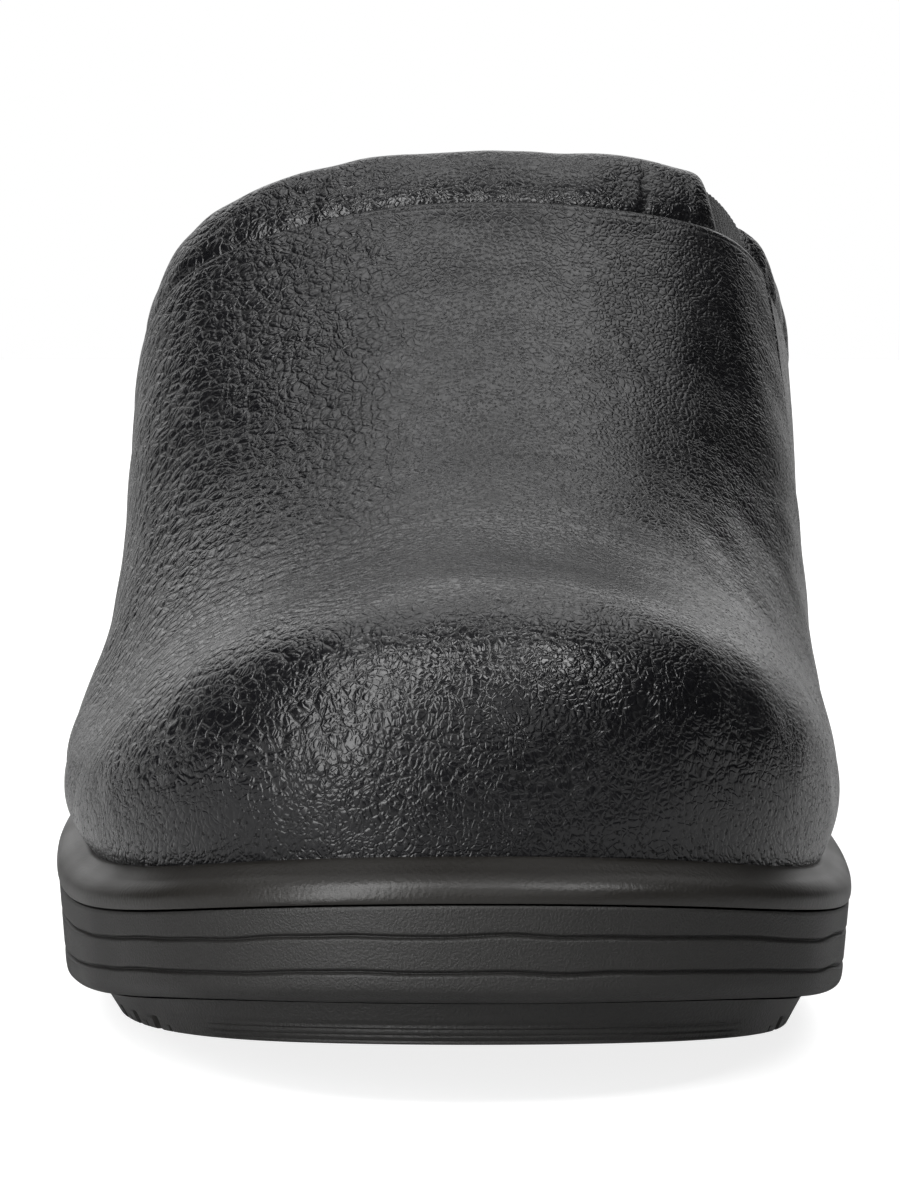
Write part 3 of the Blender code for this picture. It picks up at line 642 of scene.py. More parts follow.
class NodeSheet:
    """The node tree of one material."""

    def __init__(self, tree: bpy.types.NodeTree) -> None:
        """Start from an empty tree."""
        self.tree = tree
        tree.nodes.clear()

    def node(self, kind: str, settings: dict | None = None, inputs: dict | None = None, out: Any = 0) -> Sock:
        """Add one node.

        Args:
            kind: The node's type.
            settings: Its settings, set first.
            inputs: Values or links of its sockets, by name or number.
            out: Name or number of the output that is wanted.

        Returns:
            The wanted output.
        """
        node = self.tree.nodes.new(kind)
        for key, value in (settings or {}).items():
            setattr(node, key, value)
        for key, value in (inputs or {}).items():
            if isinstance(value, Sock):
                self.tree.links.new(value.socket, node.inputs[key])
            else:
                node.inputs[key].default_value = value
        return Sock(self, node.outputs[out]) if node.outputs else Sock(self, None)

    def coords(self) -> Sock:
        """Object coordinates, in metres."""
        return self.node("ShaderNodeTexCoord", out="Object")

    def axes(self, place: Sock) -> tuple[Sock, Sock, Sock]:
        """The three parts of coordinates."""
        parts = self.node("ShaderNodeSeparateXYZ", None, {"Vector": place}).socket.node.outputs
        return tuple(Sock(self, part) for part in parts)

    def noise(self, place: Sock, size: float, detail: float = 2.0, out: str = "Fac") -> Sock:
        """Noise whose features are about this size in millimetres."""
        inputs = {"Vector": place, "Scale": 1.0 / (size * MM), "Detail": detail}
        return self.node("ShaderNodeTexNoise", None, inputs, out)

    def cells(self, place: Sock, size: float, feature: str) -> Sock:
        """Distance in cells of this size in millimetres, to their middles or to their edges."""
        inputs = {"Vector": place, "Scale": 1.0 / (size * MM)}
        return self.node("ShaderNodeTexVoronoi", {"feature": feature}, inputs, "Distance")

    def cell_edges(self, place: Sock, size: float) -> Sock:
        """Distance to the nearest edge between cells of this size in millimetres."""
        return self.cells(place, size, "DISTANCE_TO_EDGE")

    def warped(self, place: Sock, size: float, amount: float) -> Sock:
        """Coordinates pushed about by noise.

        Args:
            place: Coordinates in metres.
            size: Size of the noise in millimetres.
            amount: How far a point is pushed, in millimetres.

        Returns:
            The pushed coordinates.
        """
        push = self.noise(place, size, 1.0, "Color")
        centred = self.node("ShaderNodeVectorMath", {"operation": "SUBTRACT"}, {0: push, 1: (0.5, 0.5, 0.5)})
        reach = 2.0 * amount * MM
        scaled = self.node("ShaderNodeVectorMath", {"operation": "MULTIPLY"}, {0: centred, 1: (reach,) * 3})
        return self.node("ShaderNodeVectorMath", {"operation": "ADD"}, {0: place, 1: scaled})

    def eased(self, value: Sock, low: float, high: float, start: float = 0.0, end: float = 1.0) -> Sock:
        """Ease a value from one range to another."""
        inputs = {"Value": value, "From Min": low, "From Max": high, "To Min": start, "To Max": end}
        return self.node("ShaderNodeMapRange", {"interpolation_type": "SMOOTHSTEP"}, inputs, "Result")

    def mixed(self, share: Value, first: tuple, second: tuple) -> Sock:
        """Mix two colours."""
        inputs = {MIX_SHARE: share, MIX_FIRST: (*first, 1.0), MIX_SECOND: (*second, 1.0)}
        return self.node("ShaderNodeMix", {"data_type": "RGBA"}, inputs, MIX_RESULT)

    def bump(self, height: Value, depth: float) -> Sock:
        """A bumped normal whose full height is a depth in millimetres."""
        inputs = {"Height": height, "Distance": depth * MM, "Strength": 1.0}
        return self.node("ShaderNodeBump", None, inputs, "Normal")

    def shader(self, **inputs: Any) -> Sock:
        """Add a Principled BSDF."""
        plain = {key.replace("_", " "): value for key, value in inputs.items()}
        return self.node("ShaderNodeBsdfPrincipled", None, plain, "BSDF")

    def shaded(self, share: Sock, first: Sock, second: Sock) -> None:
        """Finish the tree with two shaders mixed."""
        mix = self.node("ShaderNodeMixShader", None, {0: share, 1: first, 2: second})
        self.node("ShaderNodeOutputMaterial", None, {"Surface": mix})

    def surface(self, **inputs: Any) -> None:
        """Finish the tree with one Principled BSDF."""
        self.node("ShaderNodeOutputMaterial", None, {"Surface": self.shader(**inputs)})


@dataclass(frozen=True)
class Finish:
    """A named finish that paints one material."""

    name: str

    def material(self) -> bpy.types.Material:
        """The finish's material, made on first use."""
        found = bpy.data.materials.get(self.name)
        if found:
            return found
        material = bpy.data.materials.new(self.name)
        material.use_nodes = True
        self.paint(NodeSheet(material.node_tree))
        return material

    def paint(self, sheet: NodeSheet) -> None:
        """Paint the material; each finish does this in its own way."""
        raise NotImplementedError


@dataclass(frozen=True)
class PebbledLeather(Finish):
    """Tumbled leather: soft pebbles parted by fine folds, coarse on the lateral side and the toe.

    Sizes of the grain are in millimetres and spots on the shoe in metres.
    """

    pebble: float = 1.45
    fold: float = 0.040
    fold_edge: float = 0.16
    dome: float = 0.10
    small_pebble: float = 0.80
    small_fold: float = 0.030
    small_fold_edge: float = 0.20
    small_dome: float = 0.020
    small_dome_edge: float = 0.5
    pit_pitch: float = 0.66
    pit: float = 0.045
    pit_edge: tuple = (0.14, 0.34)
    # Painted shade: share of a dark shader without reflection mixed into the pits.
    pit_shade: float = 0.28
    flow_tilt: float = 58.0
    flow_stretch: float = 2.0
    fine_warp: tuple = (1.5, 0.36)
    broad_warp: tuple = (5.0, 1.2)
    coarse_x: tuple = (-0.016, 0.008)
    coarse_toe: tuple = (-0.121, -0.110)
    smooth_foot: tuple = (0.034, 0.043)
    coarse_least: float = 0.25
    fine_most: float = 1.2
    wander_size: float = 16.0
    wander_x: float = 0.018
    wander_toe: float = 0.006
    wander_foot: float = 0.010
    fade_size: float = 3.1
    fade_span: tuple = (0.34, 0.60)
    fade_least: float = 0.45
    side_x: tuple = (0.026, 0.040)
    side_gain: float = 1.6
    left_x: tuple = (-0.022, 0.0)
    left_gain: float = 2.0
    low_z: tuple = (0.050, 0.082)
    low_gain: float = 0.6
    dark: tuple = (0.0010, 0.0010, 0.0012)
    light: tuple = (0.0045, 0.0045, 0.0052)
    # Painted shade: how far the base colour darkens in the folds and in the pits.
    fold_tone_painted_shade: float = 0.4
    pit_tone_painted_shade: float = 0.6
    coarse_gloss: float = 0.21
    fine_gloss: float = 0.23
    fold_dull: float = 0.10
    pit_dull: float = 0.14
    patch_size: float = 12.0
    patch_gloss: tuple = (-0.03, 0.04)
    shine: float = 0.43
    # Roughness of the dark painted-shade shader in the pits.
    painted_shade_rough: float = 0.8

    def coarse_zone(self, sheet: NodeSheet, place: Sock) -> tuple[Sock, Sock]:
        """How coarse the grain is: full on the lateral side and the front of the toe, less by the rim.

        Args:
            sheet: The material's node sheet.
            place: Coordinates in metres.

        Returns:
            The coarseness, and how far a spot lies in the front of the toe.
        """
        x, y, z = sheet.axes(place)
        wander = sheet.noise(place, self.wander_size) - 0.5
        aside = sheet.eased(x + wander * self.wander_x, *self.coarse_x, 1.0, 0.0)
        toe = sheet.eased(y + wander * self.wander_toe, *self.coarse_toe, 1.0, 0.0)
        foot = sheet.eased(z + wander * self.wander_foot, *self.smooth_foot)
        coarse = (1.0 - (1.0 - aside) * (1.0 - toe)) * foot
        return sheet.eased(coarse, 0.0, 1.0, self.coarse_least, 1.0), toe

    def steepness(self, sheet: NodeSheet, place: Sock, toe: Sock) -> Sock:
        """How steep the pebbles are: they come and go in patches and are strongest on the flanks.

        Args:
            sheet: The material's node sheet.
            place: Coordinates in metres.
            toe: How far a spot lies in the front of the toe.

        Returns:
            A factor for the pebbles' height.
        """
        x, _, z = sheet.axes(place)
        patches = sheet.eased(sheet.noise(place, self.fade_size, 1.0), *self.fade_span, self.fade_least, 1.0)
        aside = sheet.node("ShaderNodeMath", {"operation": "ABSOLUTE"}, {0: x})
        left = sheet.eased(x, *self.left_x, self.left_gain, 1.0)
        low = 1.0 + sheet.eased(z, *self.low_z, self.low_gain, 0.0) * (1.0 - toe)
        return patches * left * low * sheet.eased(aside, *self.side_x, 1.0, self.side_gain)

    def drawn_out(self, sheet: NodeSheet, place: Sock) -> Sock:
        """Coordinates that draw the grain out along the way it flows."""
        turn = (math.radians(self.flow_tilt), 0.0, 0.0)
        stretch = (1.0, 1.0, self.flow_stretch)
        inputs = {"Vector": place, "Rotation": turn, "Scale": stretch}
        return sheet.node("ShaderNodeMapping", {"vector_type": "TEXTURE"}, inputs)

    def paint(self, sheet: NodeSheet) -> None:
        """Paint two sizes of pebbles whose folds come and go, and in the finer zone small dull pits. The
        folds and pits carry painted shade: a darker base colour, and in the pits a mix towards a dark shader
        without reflection.
        """
        place = sheet.coords()
        zone, toe = self.coarse_zone(sheet, place)
        fine_zone = self.fine_most - zone
        drawn = self.drawn_out(sheet, place)
        bent = sheet.warped(sheet.warped(drawn, *self.fine_warp), *self.broad_warp)
        reach = sheet.cells(bent, self.pebble, "F1")
        flat = sheet.eased(sheet.cell_edges(bent, self.pebble), 0.0, self.fold_edge)
        small_edge = sheet.cell_edges(bent, self.small_pebble)
        small_flat = sheet.eased(small_edge, 0.0, self.small_fold_edge)
        small_round = sheet.eased(small_edge, 0.0, self.small_dome_edge)
        pits = sheet.eased(sheet.cells(drawn, self.pit_pitch, "F1"), *self.pit_edge)
        pebbles = (flat * self.fold - reach * reach * self.dome) * self.steepness(sheet, place, toe)
        small = small_flat * self.small_fold + small_round * self.small_dome
        height = pebbles * zone + small + pits * fine_zone * self.pit
        gloss = sheet.eased(zone, 0.0, 1.0, self.fine_gloss, self.coarse_gloss)
        dull = (1.0 - flat) * zone * self.fold_dull + (1.0 - pits) * fine_zone * self.pit_dull
        patches = sheet.eased(sheet.noise(place, self.patch_size), *NOISE_SPAN, *self.patch_gloss)
        # Painted shade: the base colour is darker in the folds and the pits, where shade falls.
        tone = flat * self.fold_tone_painted_shade + pits * self.pit_tone_painted_shade
        skin = sheet.shader(Base_Color=sheet.mixed(tone, self.dark, self.light),
                            Roughness=gloss + dull + patches, Normal=sheet.bump(height, 1.0),
                            Specular_IOR_Level=self.shine)
        # Painted shade: a dark shader without reflection, mixed into the pits where shade falls.
        hollow = sheet.shader(Base_Color=(*self.dark, 1.0), Roughness=self.painted_shade_rough,
                              Specular_IOR_Level=0.0)
        sheet.shaded((1.0 - pits) * fine_zone * self.pit_shade, skin, hollow)


@dataclass(frozen=True)
class LiningLeather(Finish):
    """Smooth dark lining with a fine, even grain."""

    dark: tuple = (0.012, 0.012, 0.013)
    light: tuple = (0.024, 0.024, 0.025)
    pore: float = 0.7
    pore_edge: float = 0.3
    pore_warp: tuple = (2.0, 0.2)
    patch_size: float = 16.0
    patch_relief: float = 0.5
    rough: float = 0.62
    pore_gloss: float = 0.12
    relief: float = 0.06

    def paint(self, sheet: NodeSheet) -> None:
        """Paint fine pores and slow changes of tone."""
        place = sheet.coords()
        edges = sheet.cell_edges(sheet.warped(place, *self.pore_warp), self.pore)
        grain = sheet.eased(edges, 0.0, self.pore_edge)
        slow = sheet.noise(place, self.patch_size)
        sheet.surface(Base_Color=sheet.mixed(slow, self.dark, self.light),
                      Roughness=self.rough - self.pore_gloss * grain,
                      Normal=sheet.bump(grain + slow * self.patch_relief, self.relief))


@dataclass(frozen=True)
class MouldedRubber(Finish):
    """Moulded sole compound with a fine cast grain."""

    dark: tuple = (0.0050, 0.0048, 0.0045)
    light: tuple = (0.0130, 0.0124, 0.0116)
    rough: float = 0.52
    grain: float = 0.30
    relief: float = 0.040
    shine: float = 0.40
    cast_span: tuple = (0.32, 0.68)
    cast_tone: float = 0.7
    speck_size: float = 0.3
    speck_relief: float = 0.4
    speck_gloss: float = 0.12
    patch_size: float = 22.0
    patch_tone: float = 0.3
    patch_gloss: tuple = (-0.06, 0.06)

    def paint(self, sheet: NodeSheet) -> None:
        """Paint the cast grain, fine specks sized as a share of it, and slow changes of gloss."""
        place = sheet.coords()
        cast = sheet.noise(place, self.grain, 3.0)
        specks = sheet.noise(place, self.grain * self.speck_size)
        slow = sheet.noise(place, self.patch_size)
        height = sheet.eased(cast, *self.cast_span) + specks * self.speck_relief
        patches = sheet.eased(slow, *NOISE_SPAN, *self.patch_gloss)
        gloss = self.rough + patches + self.speck_gloss * (specks - 0.5)
        tone = cast * self.cast_tone + slow * self.patch_tone
        sheet.surface(Base_Color=sheet.mixed(tone, self.dark, self.light), Roughness=gloss,
                      Normal=sheet.bump(height, self.relief), Specular_IOR_Level=self.shine)


@dataclass(frozen=True)
class RibbedElastic(Finish):
    """Dull woven elastic."""

    dark: tuple = (0.003, 0.003, 0.003)
    light: tuple = (0.02, 0.02, 0.021)
    thread: float = 0.45
    thread_edge: float = 0.35
    thread_tone: float = 0.6
    thread_gloss: float = 0.1
    fuzz_size: float = 0.25
    fuzz_share: float = 0.4
    rough: float = 0.92
    relief: float = 0.09
    sheen: float = 0.15

    def paint(self, sheet: NodeSheet) -> None:
        """Paint short crossing threads."""
        place = sheet.coords()
        weave = sheet.eased(sheet.cell_edges(place, self.thread), 0.0, self.thread_edge)
        fuzz = sheet.noise(place, self.fuzz_size, 3.0)
        tone = weave * self.thread_tone + fuzz * self.fuzz_share
        sheet.surface(Base_Color=sheet.mixed(tone, self.dark, self.light),
                      Roughness=self.rough - self.thread_gloss * weave,
                      Normal=sheet.bump(weave + fuzz * self.fuzz_share, self.relief), Sheen_Weight=self.sheen)


@dataclass(frozen=True)
class WaxedThread(Finish):
    """Black sewing thread with a slight sheen."""

    dark: tuple = (0.006, 0.006, 0.006)
    light: tuple = (0.020, 0.020, 0.020)
    ply: float = 0.3
    rough: float = 0.42
    ply_rough: float = 0.2
    relief: float = 0.05

    def paint(self, sheet: NodeSheet) -> None:
        """Paint the twist of the plies as fine noise."""
        twist = sheet.noise(sheet.coords(), self.ply)
        sheet.surface(Base_Color=sheet.mixed(twist, self.dark, self.light),
                      Roughness=self.rough + self.ply_rough * twist, Normal=sheet.bump(twist, self.relief))


@dataclass(frozen=True)
class FootbedCover(Finish):
    """Soft cover of the footbed, brushed to a short nap."""

    dark: tuple = (0.010, 0.010, 0.010)
    light: tuple = (0.034, 0.034, 0.035)
    fibre: float = 0.5
    fibre_tone: float = 0.6
    lie_warp: tuple = (18.0, 4.0)
    lie_size: float = 12.0
    lie_tone: float = 0.4
    rough: float = 0.95
    lie_gloss: float = 0.15
    relief: float = 0.10
    sheen: float = 0.12

    def paint(self, sheet: NodeSheet) -> None:
        """Paint the nap, its fibres and places where it lies another way."""
        place = sheet.coords()
        nap = sheet.noise(place, self.fibre, 4.0)
        lie = sheet.noise(sheet.warped(place, *self.lie_warp), self.lie_size)
        tone = nap * self.fibre_tone + lie * self.lie_tone
        sheet.surface(Base_Color=sheet.mixed(tone, self.dark, self.light),
                      Roughness=self.rough - self.lie_gloss * lie, Normal=sheet.bump(nap, self.relief),
                      Sheen_Weight=self.sheen)


@dataclass(frozen=True)
class PaleFloor(Finish):
    """Matt pale floor of the studio, which shows white and sends back little light."""

    shade: float = 0.44
    shade_spread: float = 1.03
    patch_size: float = 400.0
    glow: float = 0.82
    rough: float = 0.9
    shine: float = 0.1

    def paint(self, sheet: NodeSheet) -> None:
        """Paint a pale ground with hardly any variation, lit up where it is seen directly."""
        slow = sheet.noise(sheet.coords(), self.patch_size, 1.0)
        seen = sheet.node("ShaderNodeLightPath", out="Is Camera Ray")
        glow = sheet.mixed(seen, (0.0, 0.0, 0.0), (self.glow,) * 3)
        ground = sheet.mixed(slow, (self.shade,) * 3, (self.shade * self.shade_spread,) * 3)
        sheet.surface(Base_Color=ground, Roughness=self.rough, Specular_IOR_Level=self.shine,
                      Emission_Color=glow, Emission_Strength=1.0)


VAMP_LEATHER = PebbledLeather("vamp_leather")
COLLAR_LEATHER = PebbledLeather("collar_leather_soft", pebble=1.25, coarse_least=0.6)
LINING_LEATHER = LiningLeather("lining_leather")
RIM_RUBBER = MouldedRubber("rim_rubber_satin", dark=(0.006, 0.0054, 0.0046), light=(0.013, 0.0118, 0.0102),
                           rough=0.41, grain=0.5, relief=0.016)
SIDE_RUBBER = MouldedRubber("side_rubber_matt")
TREAD_RUBBER = MouldedRubber("tread_rubber_matt", grain=0.4)
ELASTIC = RibbedElastic("gore_elastic_weave")
THREAD = WaxedThread("black_thread")
NAP = FootbedCover("footbed_nap")
FLOOR = PaleFloor("studio_floor")


def dress(piece: bpy.types.Object, finish: Finish, slot: str, *nodes: str) -> None:
    """Give a piece its finish and body, and hide the solids that it stands for.

    Args:
        piece: The finished mesh object.
        finish: Its finish.
        slot: Name of a material slot; not used.
        *nodes: Solids that the piece replaces.
    """
    piece.data.materials.clear()
    piece.data.materials.append(finish.material())
    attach(piece, "root")
    if nodes:
        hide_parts(*nodes)
    LOG.info("%s: %d faces", piece.name, len(piece.data.polygons))


# Sub-assemblies

class Crease(NamedTuple):
    """A soft trough or ridge between two spots, each given as x and distance from the heel."""

    start_x: float
    start_from_heel: float
    end_x: float
    end_from_heel: float
    width: float
    depth: float


VAMP_CREASES = (
    Crease(start_x=-13.0, start_from_heel=149.0, end_x=-3.0, end_from_heel=166.0, width=1.5, depth=0.16),
    Crease(start_x=-17.0, start_from_heel=151.0, end_x=-9.0, end_from_heel=165.0, width=1.3, depth=0.13),
    Crease(start_x=-22.0, start_from_heel=153.0, end_x=-17.0, end_from_heel=168.0, width=1.4, depth=0.12),
    Crease(start_x=16.0, start_from_heel=162.0, end_x=25.0, end_from_heel=173.0, width=1.6, depth=0.14),
    Crease(start_x=13.0, start_from_heel=167.0, end_x=21.0, end_from_heel=178.0, width=1.6, depth=0.12),
    Crease(start_x=-40.0, start_from_heel=205.0, end_x=-18.0, end_from_heel=226.0, width=2.2, depth=0.12),
    Crease(start_x=39.0, start_from_heel=203.0, end_x=22.0, end_from_heel=226.0, width=2.2, depth=0.12),
)


@dataclass
class Gore:
    """The elastic panel on the medial side, between the collar ends and behind a slit in the wall."""

    last: LastForm
    foot_from_heel: float = 170.0
    width: float = 13.0
    slit_offset: float = 4.0
    slit_top: float = 5.0
    slit_bottom: float = 3.0
    slit_foot: float = 0.595
    margin: float = 4.0
    depth: float = 2.5
    thickness: float = 1.2
    neck: float = 3.5
    neck_spread: float = 0.25
    top_gap: float = 1.2
    rib_pitch: float = 1.15
    rib_height: float = 0.16
    rows: int = 80
    columns: int = 96
    around: float = field(init=False)
    half: float = field(init=False)

    def __post_init__(self) -> None:
        """Find where the gore's middle runs and how much of the way round it takes."""
        self.around = float(self.last.around_at(self.foot_from_heel, Side.MEDIAL))
        self.half = self.topline_share(self.width) / 2.0

    def topline_share(self, width: Any) -> Any:
        """How much of the way round a width takes up on the topline at the gore."""
        step = 0.002
        run = self.last.topline(self.around + step) - self.last.topline(self.around - step)
        return width * 2.0 * step / float(np.linalg.norm(run))

    def slit_edges(self, wall_share: Any) -> tuple[np.ndarray, np.ndarray]:
        """Front and rear edge of the slit at shares of the way up the wall to the seam."""
        up = np.clip((np.asarray(wall_share) - self.slit_foot) / (1.0 - self.slit_foot), 0.0, 1.0)
        half = self.topline_share(self.slit_bottom + (self.slit_top - self.slit_bottom) * up) / 2.0
        middle = self.around + self.topline_share(self.slit_offset)
        return middle - half, middle + half

    def build(self) -> None:
        """Make the ribbed panel, narrowed to a neck between the collar ends."""
        length = float(self.last.length(self.around))
        seam = float(self.last.seam(self.around))
        low = seam * self.slit_foot - self.margin / length
        up = np.linspace(low, 1.0 - self.top_gap / length, self.rows)
        narrow = smooth_step((up - (seam - 2.0 * self.neck / length)) / (self.neck / length))
        half = self.half + self.topline_share(self.margin) * (1.0 - narrow)
        half += self.topline_share(self.neck_spread) * narrow
        across = np.linspace(-1.0, 1.0, self.columns)
        around = self.around + half[:, None] * across[None]
        points, out = self.last.at(around, up[:, None])
        run = across[None] * half[:, None] / self.topline_share(1.0)
        ribs = self.rib_height * np.sin(2.0 * math.pi * run / self.rib_pitch)
        points = points + out * (ribs - self.depth)[..., None]
        piece = grid_piece("gore_panel", self.last.sole.row_frame(points), outside=False)
        thicken(piece, self.thickness)
        dress(piece, ELASTIC, "black_elastic", "gore")


@dataclass
class Upper:
    """Vamp, medial quarter, lining and the seams between them."""

    last: LastForm
    gore: Gore
    vamp_proud: float = 0.9
    vamp_proud_gain: float = 6.0
    vamp_thickness: float = 0.95
    quarter_sink: float = 0.08
    quarter_thickness: float = 1.3
    quarter_tuck: float = 0.48
    cut_edge: float = 0.22
    slit_lead: float = 0.05
    slit_run: float = 0.06
    under_vamp: float = 6.0
    lining_depth: float = 1.45
    lining_thickness: float = 0.5
    lining_lead: float = 0.02
    lining_run: float = 0.04
    seam_gap: float = 0.15
    seam_tuck: float = 0.8
    seam_tuck_run: float = 0.8
    seam_reach: float = 4.0
    seam_fade: float = 4.0
    seam_rows: int = 26
    seam_stitch: float = 1.0
    seam_groove: float = 0.22
    seam_groove_width: float = 0.24
    rows: int = 116
    row_crowding: float = 0.45
    vamp_columns: int = 330
    quarter_columns: int = 70
    vamp_lining_columns: int = 200
    quarter_lining_columns: int = 50
    foot_drop: float = 4.6
    face_gain: float = 9.0
    unevenness: float = 0.07
    quarter_unevenness: float = 0.035
    uneven_waves: tuple = (7.0, 15.0)
    slow_unevenness: float = 0.10
    slow_waves: tuple = (20.0, 44.0)
    vamp_seed: int = 4
    vamp_slow_seed: int = 9
    quarter_seed: int = 5
    crease_ends: float = 4.0
    crease_shoulder: float = 0.5
    crease_spread: float = 2.2
    stitch_pitch: float = 2.5
    stitch_length: float = 1.95
    stitch_radius: float = 0.20
    stitch_sides: int = 8
    stitch_rings: int = 6
    stitch_ahead: float = 0.4
    stitch_lift: float = 0.06
    quarter_stitch_sink: float = 0.1
    seam_ends: float = 0.004
    quarter_seam_start: float = 0.006
    seam_path_points: int = 1200
    edge_rows: tuple = (1.6, 3.6)
    edge_span: tuple = (0.10, 0.985)
    edge_lift: float = 0.03
    edge_path_points: int = 600

    def front_edge(self, wall_share: np.ndarray) -> np.ndarray:
        """Where the vamp's cut edge runs, as a share of the way round."""
        return self.gore.slit_edges(wall_share)[0]

    def wall_rows(self) -> tuple[np.ndarray, np.ndarray]:
        """Levels of a wall sheet: shares of the way up, then fixed distances below the seam."""
        even = np.linspace(0.0, 1.0, self.rows)
        shares = even - self.row_crowding * np.sin(2.0 * math.pi * even) / (2.0 * math.pi)
        below = np.linspace(self.seam_reach, 0.0, self.seam_rows)[1:]
        every_share = np.concatenate([shares, np.ones_like(below)])
        return every_share, np.concatenate([np.full_like(shares, self.seam_reach), below])

    def plain_rows(self, low: float, high: float, count: int) -> tuple[np.ndarray, np.ndarray]:
        """Levels that rise evenly from one share of the wall to another."""
        shares = np.linspace(low, high, count)
        return shares, self.seam_reach * (1.0 - shares)

    def wall(self, around: np.ndarray, levels: tuple,
             proud: Any) -> tuple[np.ndarray, np.ndarray, np.ndarray]:
        """Points of a wall sheet from the foot to the seam.

        Args:
            around: Shares of the way round, one row for each level.
            levels: Shares of the way up, and distances below the seam that are left at full share.
            proud: How far the sheet stands out from the last.

        Returns:
            Points, normals and the distance below the seam.
        """
        length = self.last.length(around)
        top = self.last.seam(around) - self.seam_gap / length
        shares, left = levels[0][:, None], levels[1][:, None]
        up = shares * (top - self.seam_reach / length) + (self.seam_reach - left) / length
        points, out = self.last.at(around, up)
        below = (top - up) * length
        return points + out * np.broadcast_to(proud, around.shape)[..., None], out, below

    def tuck(self, below: np.ndarray) -> np.ndarray:
        """How far a sheet's top edge turns in at distances below the seam, from 0 to 1."""
        return np.clip(1.0 - below / self.seam_tuck_run, 0.0, 1.0) ** 2

    def creased(self, points: np.ndarray) -> np.ndarray:
        """Depth of the listed creases at points of the vamp."""
        sunk = np.zeros(points.shape[:-1])
        for crease in VAMP_CREASES:
            start = np.array([crease.start_x, crease.start_from_heel])
            run = np.array([crease.end_x, crease.end_from_heel]) - start
            along = (points[..., :2] - start) @ run / (run @ run)
            aside = np.linalg.norm(points[..., :2] - start - along[..., None] * run, axis=-1)
            ends = smooth_step(along * self.crease_ends) * smooth_step((1.0 - along) * self.crease_ends)
            shoulder = self.crease_shoulder * hump(aside, self.crease_spread * crease.width)
            sunk += crease.depth * ends * (hump(aside, crease.width) - shoulder)
        return sunk

    def footed(self, points: np.ndarray) -> np.ndarray:
        """The sheet with one more row that runs down inside the rim."""
        foot = points[:1].copy()
        foot[..., 2] -= self.foot_drop
        return np.concatenate([foot, points])

    def build_vamp(self) -> None:
        """Make the vamp with its creases, uneven face, crisp top edge and the groove of its top seam."""
        levels = self.wall_rows()
        shares = levels[0][:, None]
        across = np.linspace(0.0, 1.0, self.vamp_columns)
        around = self.front_edge(levels[0])[:, None] * across[None]
        proud = self.vamp_proud * smooth_step(shares * self.vamp_proud_gain)
        points, out, below = self.wall(around, levels, proud)
        fade = smooth_step(shares * self.face_gain) * smooth_step(below / self.seam_fade)
        relief = self.unevenness * SoftWaves(self.vamp_seed, *self.uneven_waves)(points)
        relief += self.slow_unevenness * SoftWaves(self.vamp_slow_seed, *self.slow_waves)(points)
        relief = (relief - self.creased(points)) * fade
        relief -= self.seam_tuck * self.tuck(below)
        relief -= self.seam_groove * hump(below - self.seam_stitch, self.seam_groove_width)
        points = points + out * relief[..., None]
        piece = grid_piece("vamp", self.last.sole.row_frame(self.footed(points)), outside=False)
        thicken(piece, self.vamp_thickness, self.cut_edge)
        dress(piece, VAMP_LEATHER, "black_leather", "upper")

    def build_quarter(self) -> None:
        """Make the medial quarter, whose front edge runs behind the slit's rear edge and under the vamp."""
        levels = self.wall_rows()
        open_slit = smooth_step((levels[0] - self.gore.slit_foot + self.slit_lead) / self.slit_run)
        front, rear = self.gore.slit_edges(levels[0])
        tucked = front - self.gore.topline_share(self.under_vamp)
        edge = tucked * (1.0 - open_slit) + rear * open_slit
        across = np.linspace(0.0, 1.0, self.quarter_columns)
        around = edge[:, None] + (1.0 - edge)[:, None] * across[None]
        points, out, below = self.wall(around, levels, -self.quarter_sink)
        waves = SoftWaves(self.quarter_seed, *self.uneven_waves)(points)
        relief = self.quarter_unevenness * waves * smooth_step(levels[0][:, None] * self.face_gain)
        relief = -np.abs(relief) - self.quarter_tuck * self.tuck(below)
        points = points + out * relief[..., None]
        piece = grid_piece("medial_quarter", self.last.sole.row_frame(self.footed(points)), outside=False)
        thicken(piece, self.quarter_thickness, self.cut_edge)
        dress(piece, VAMP_LEATHER, "black_leather", "upper")

    def build_lining(self) -> None:
        """Make the two linings, in front of and behind the gore slit."""
        levels = self.plain_rows(0.0, 1.0, self.rows)
        front, rear = self.gore.slit_edges(levels[0])
        closed = smooth_step((self.gore.slit_foot - self.lining_lead - levels[0]) / self.lining_run) / 2.0
        meet = (rear - front) * closed
        spans = (("vamp_lining", np.zeros_like(front), front + meet, self.vamp_lining_columns),
                 ("quarter_lining", rear - meet, np.ones_like(rear), self.quarter_lining_columns))
        for name, start, end, columns in spans:
            across = np.linspace(0.0, 1.0, columns)
            around = start[:, None] + (end - start)[:, None] * across[None]
            points = self.wall(around, levels, -self.lining_depth)[0]
            piece = grid_piece(name, self.last.sole.row_frame(self.footed(points)), outside=False)
            thicken(piece, self.lining_thickness)
            dress(piece, LINING_LEATHER, "black_leather", "upper")

    def stitch_row(self, name: str, points: np.ndarray, out: np.ndarray) -> None:
        """Lay stitches along a path, each a ball drawn out along it and bent down at its ends.

        Args:
            name: Name of the row.
            points: Closely spaced points of the path, in millimetres.
            out: Normals of the leather along it.
        """
        runs = run_along(points)
        at = np.arange(self.stitch_pitch, runs[-1] - self.stitch_pitch / 2.0, self.stitch_pitch)

        def read(table: np.ndarray, where: np.ndarray) -> np.ndarray:
            """Values of a table at distances along the path."""
            return np.stack([np.interp(where, runs, table[:, axis]) for axis in range(3)], axis=-1)

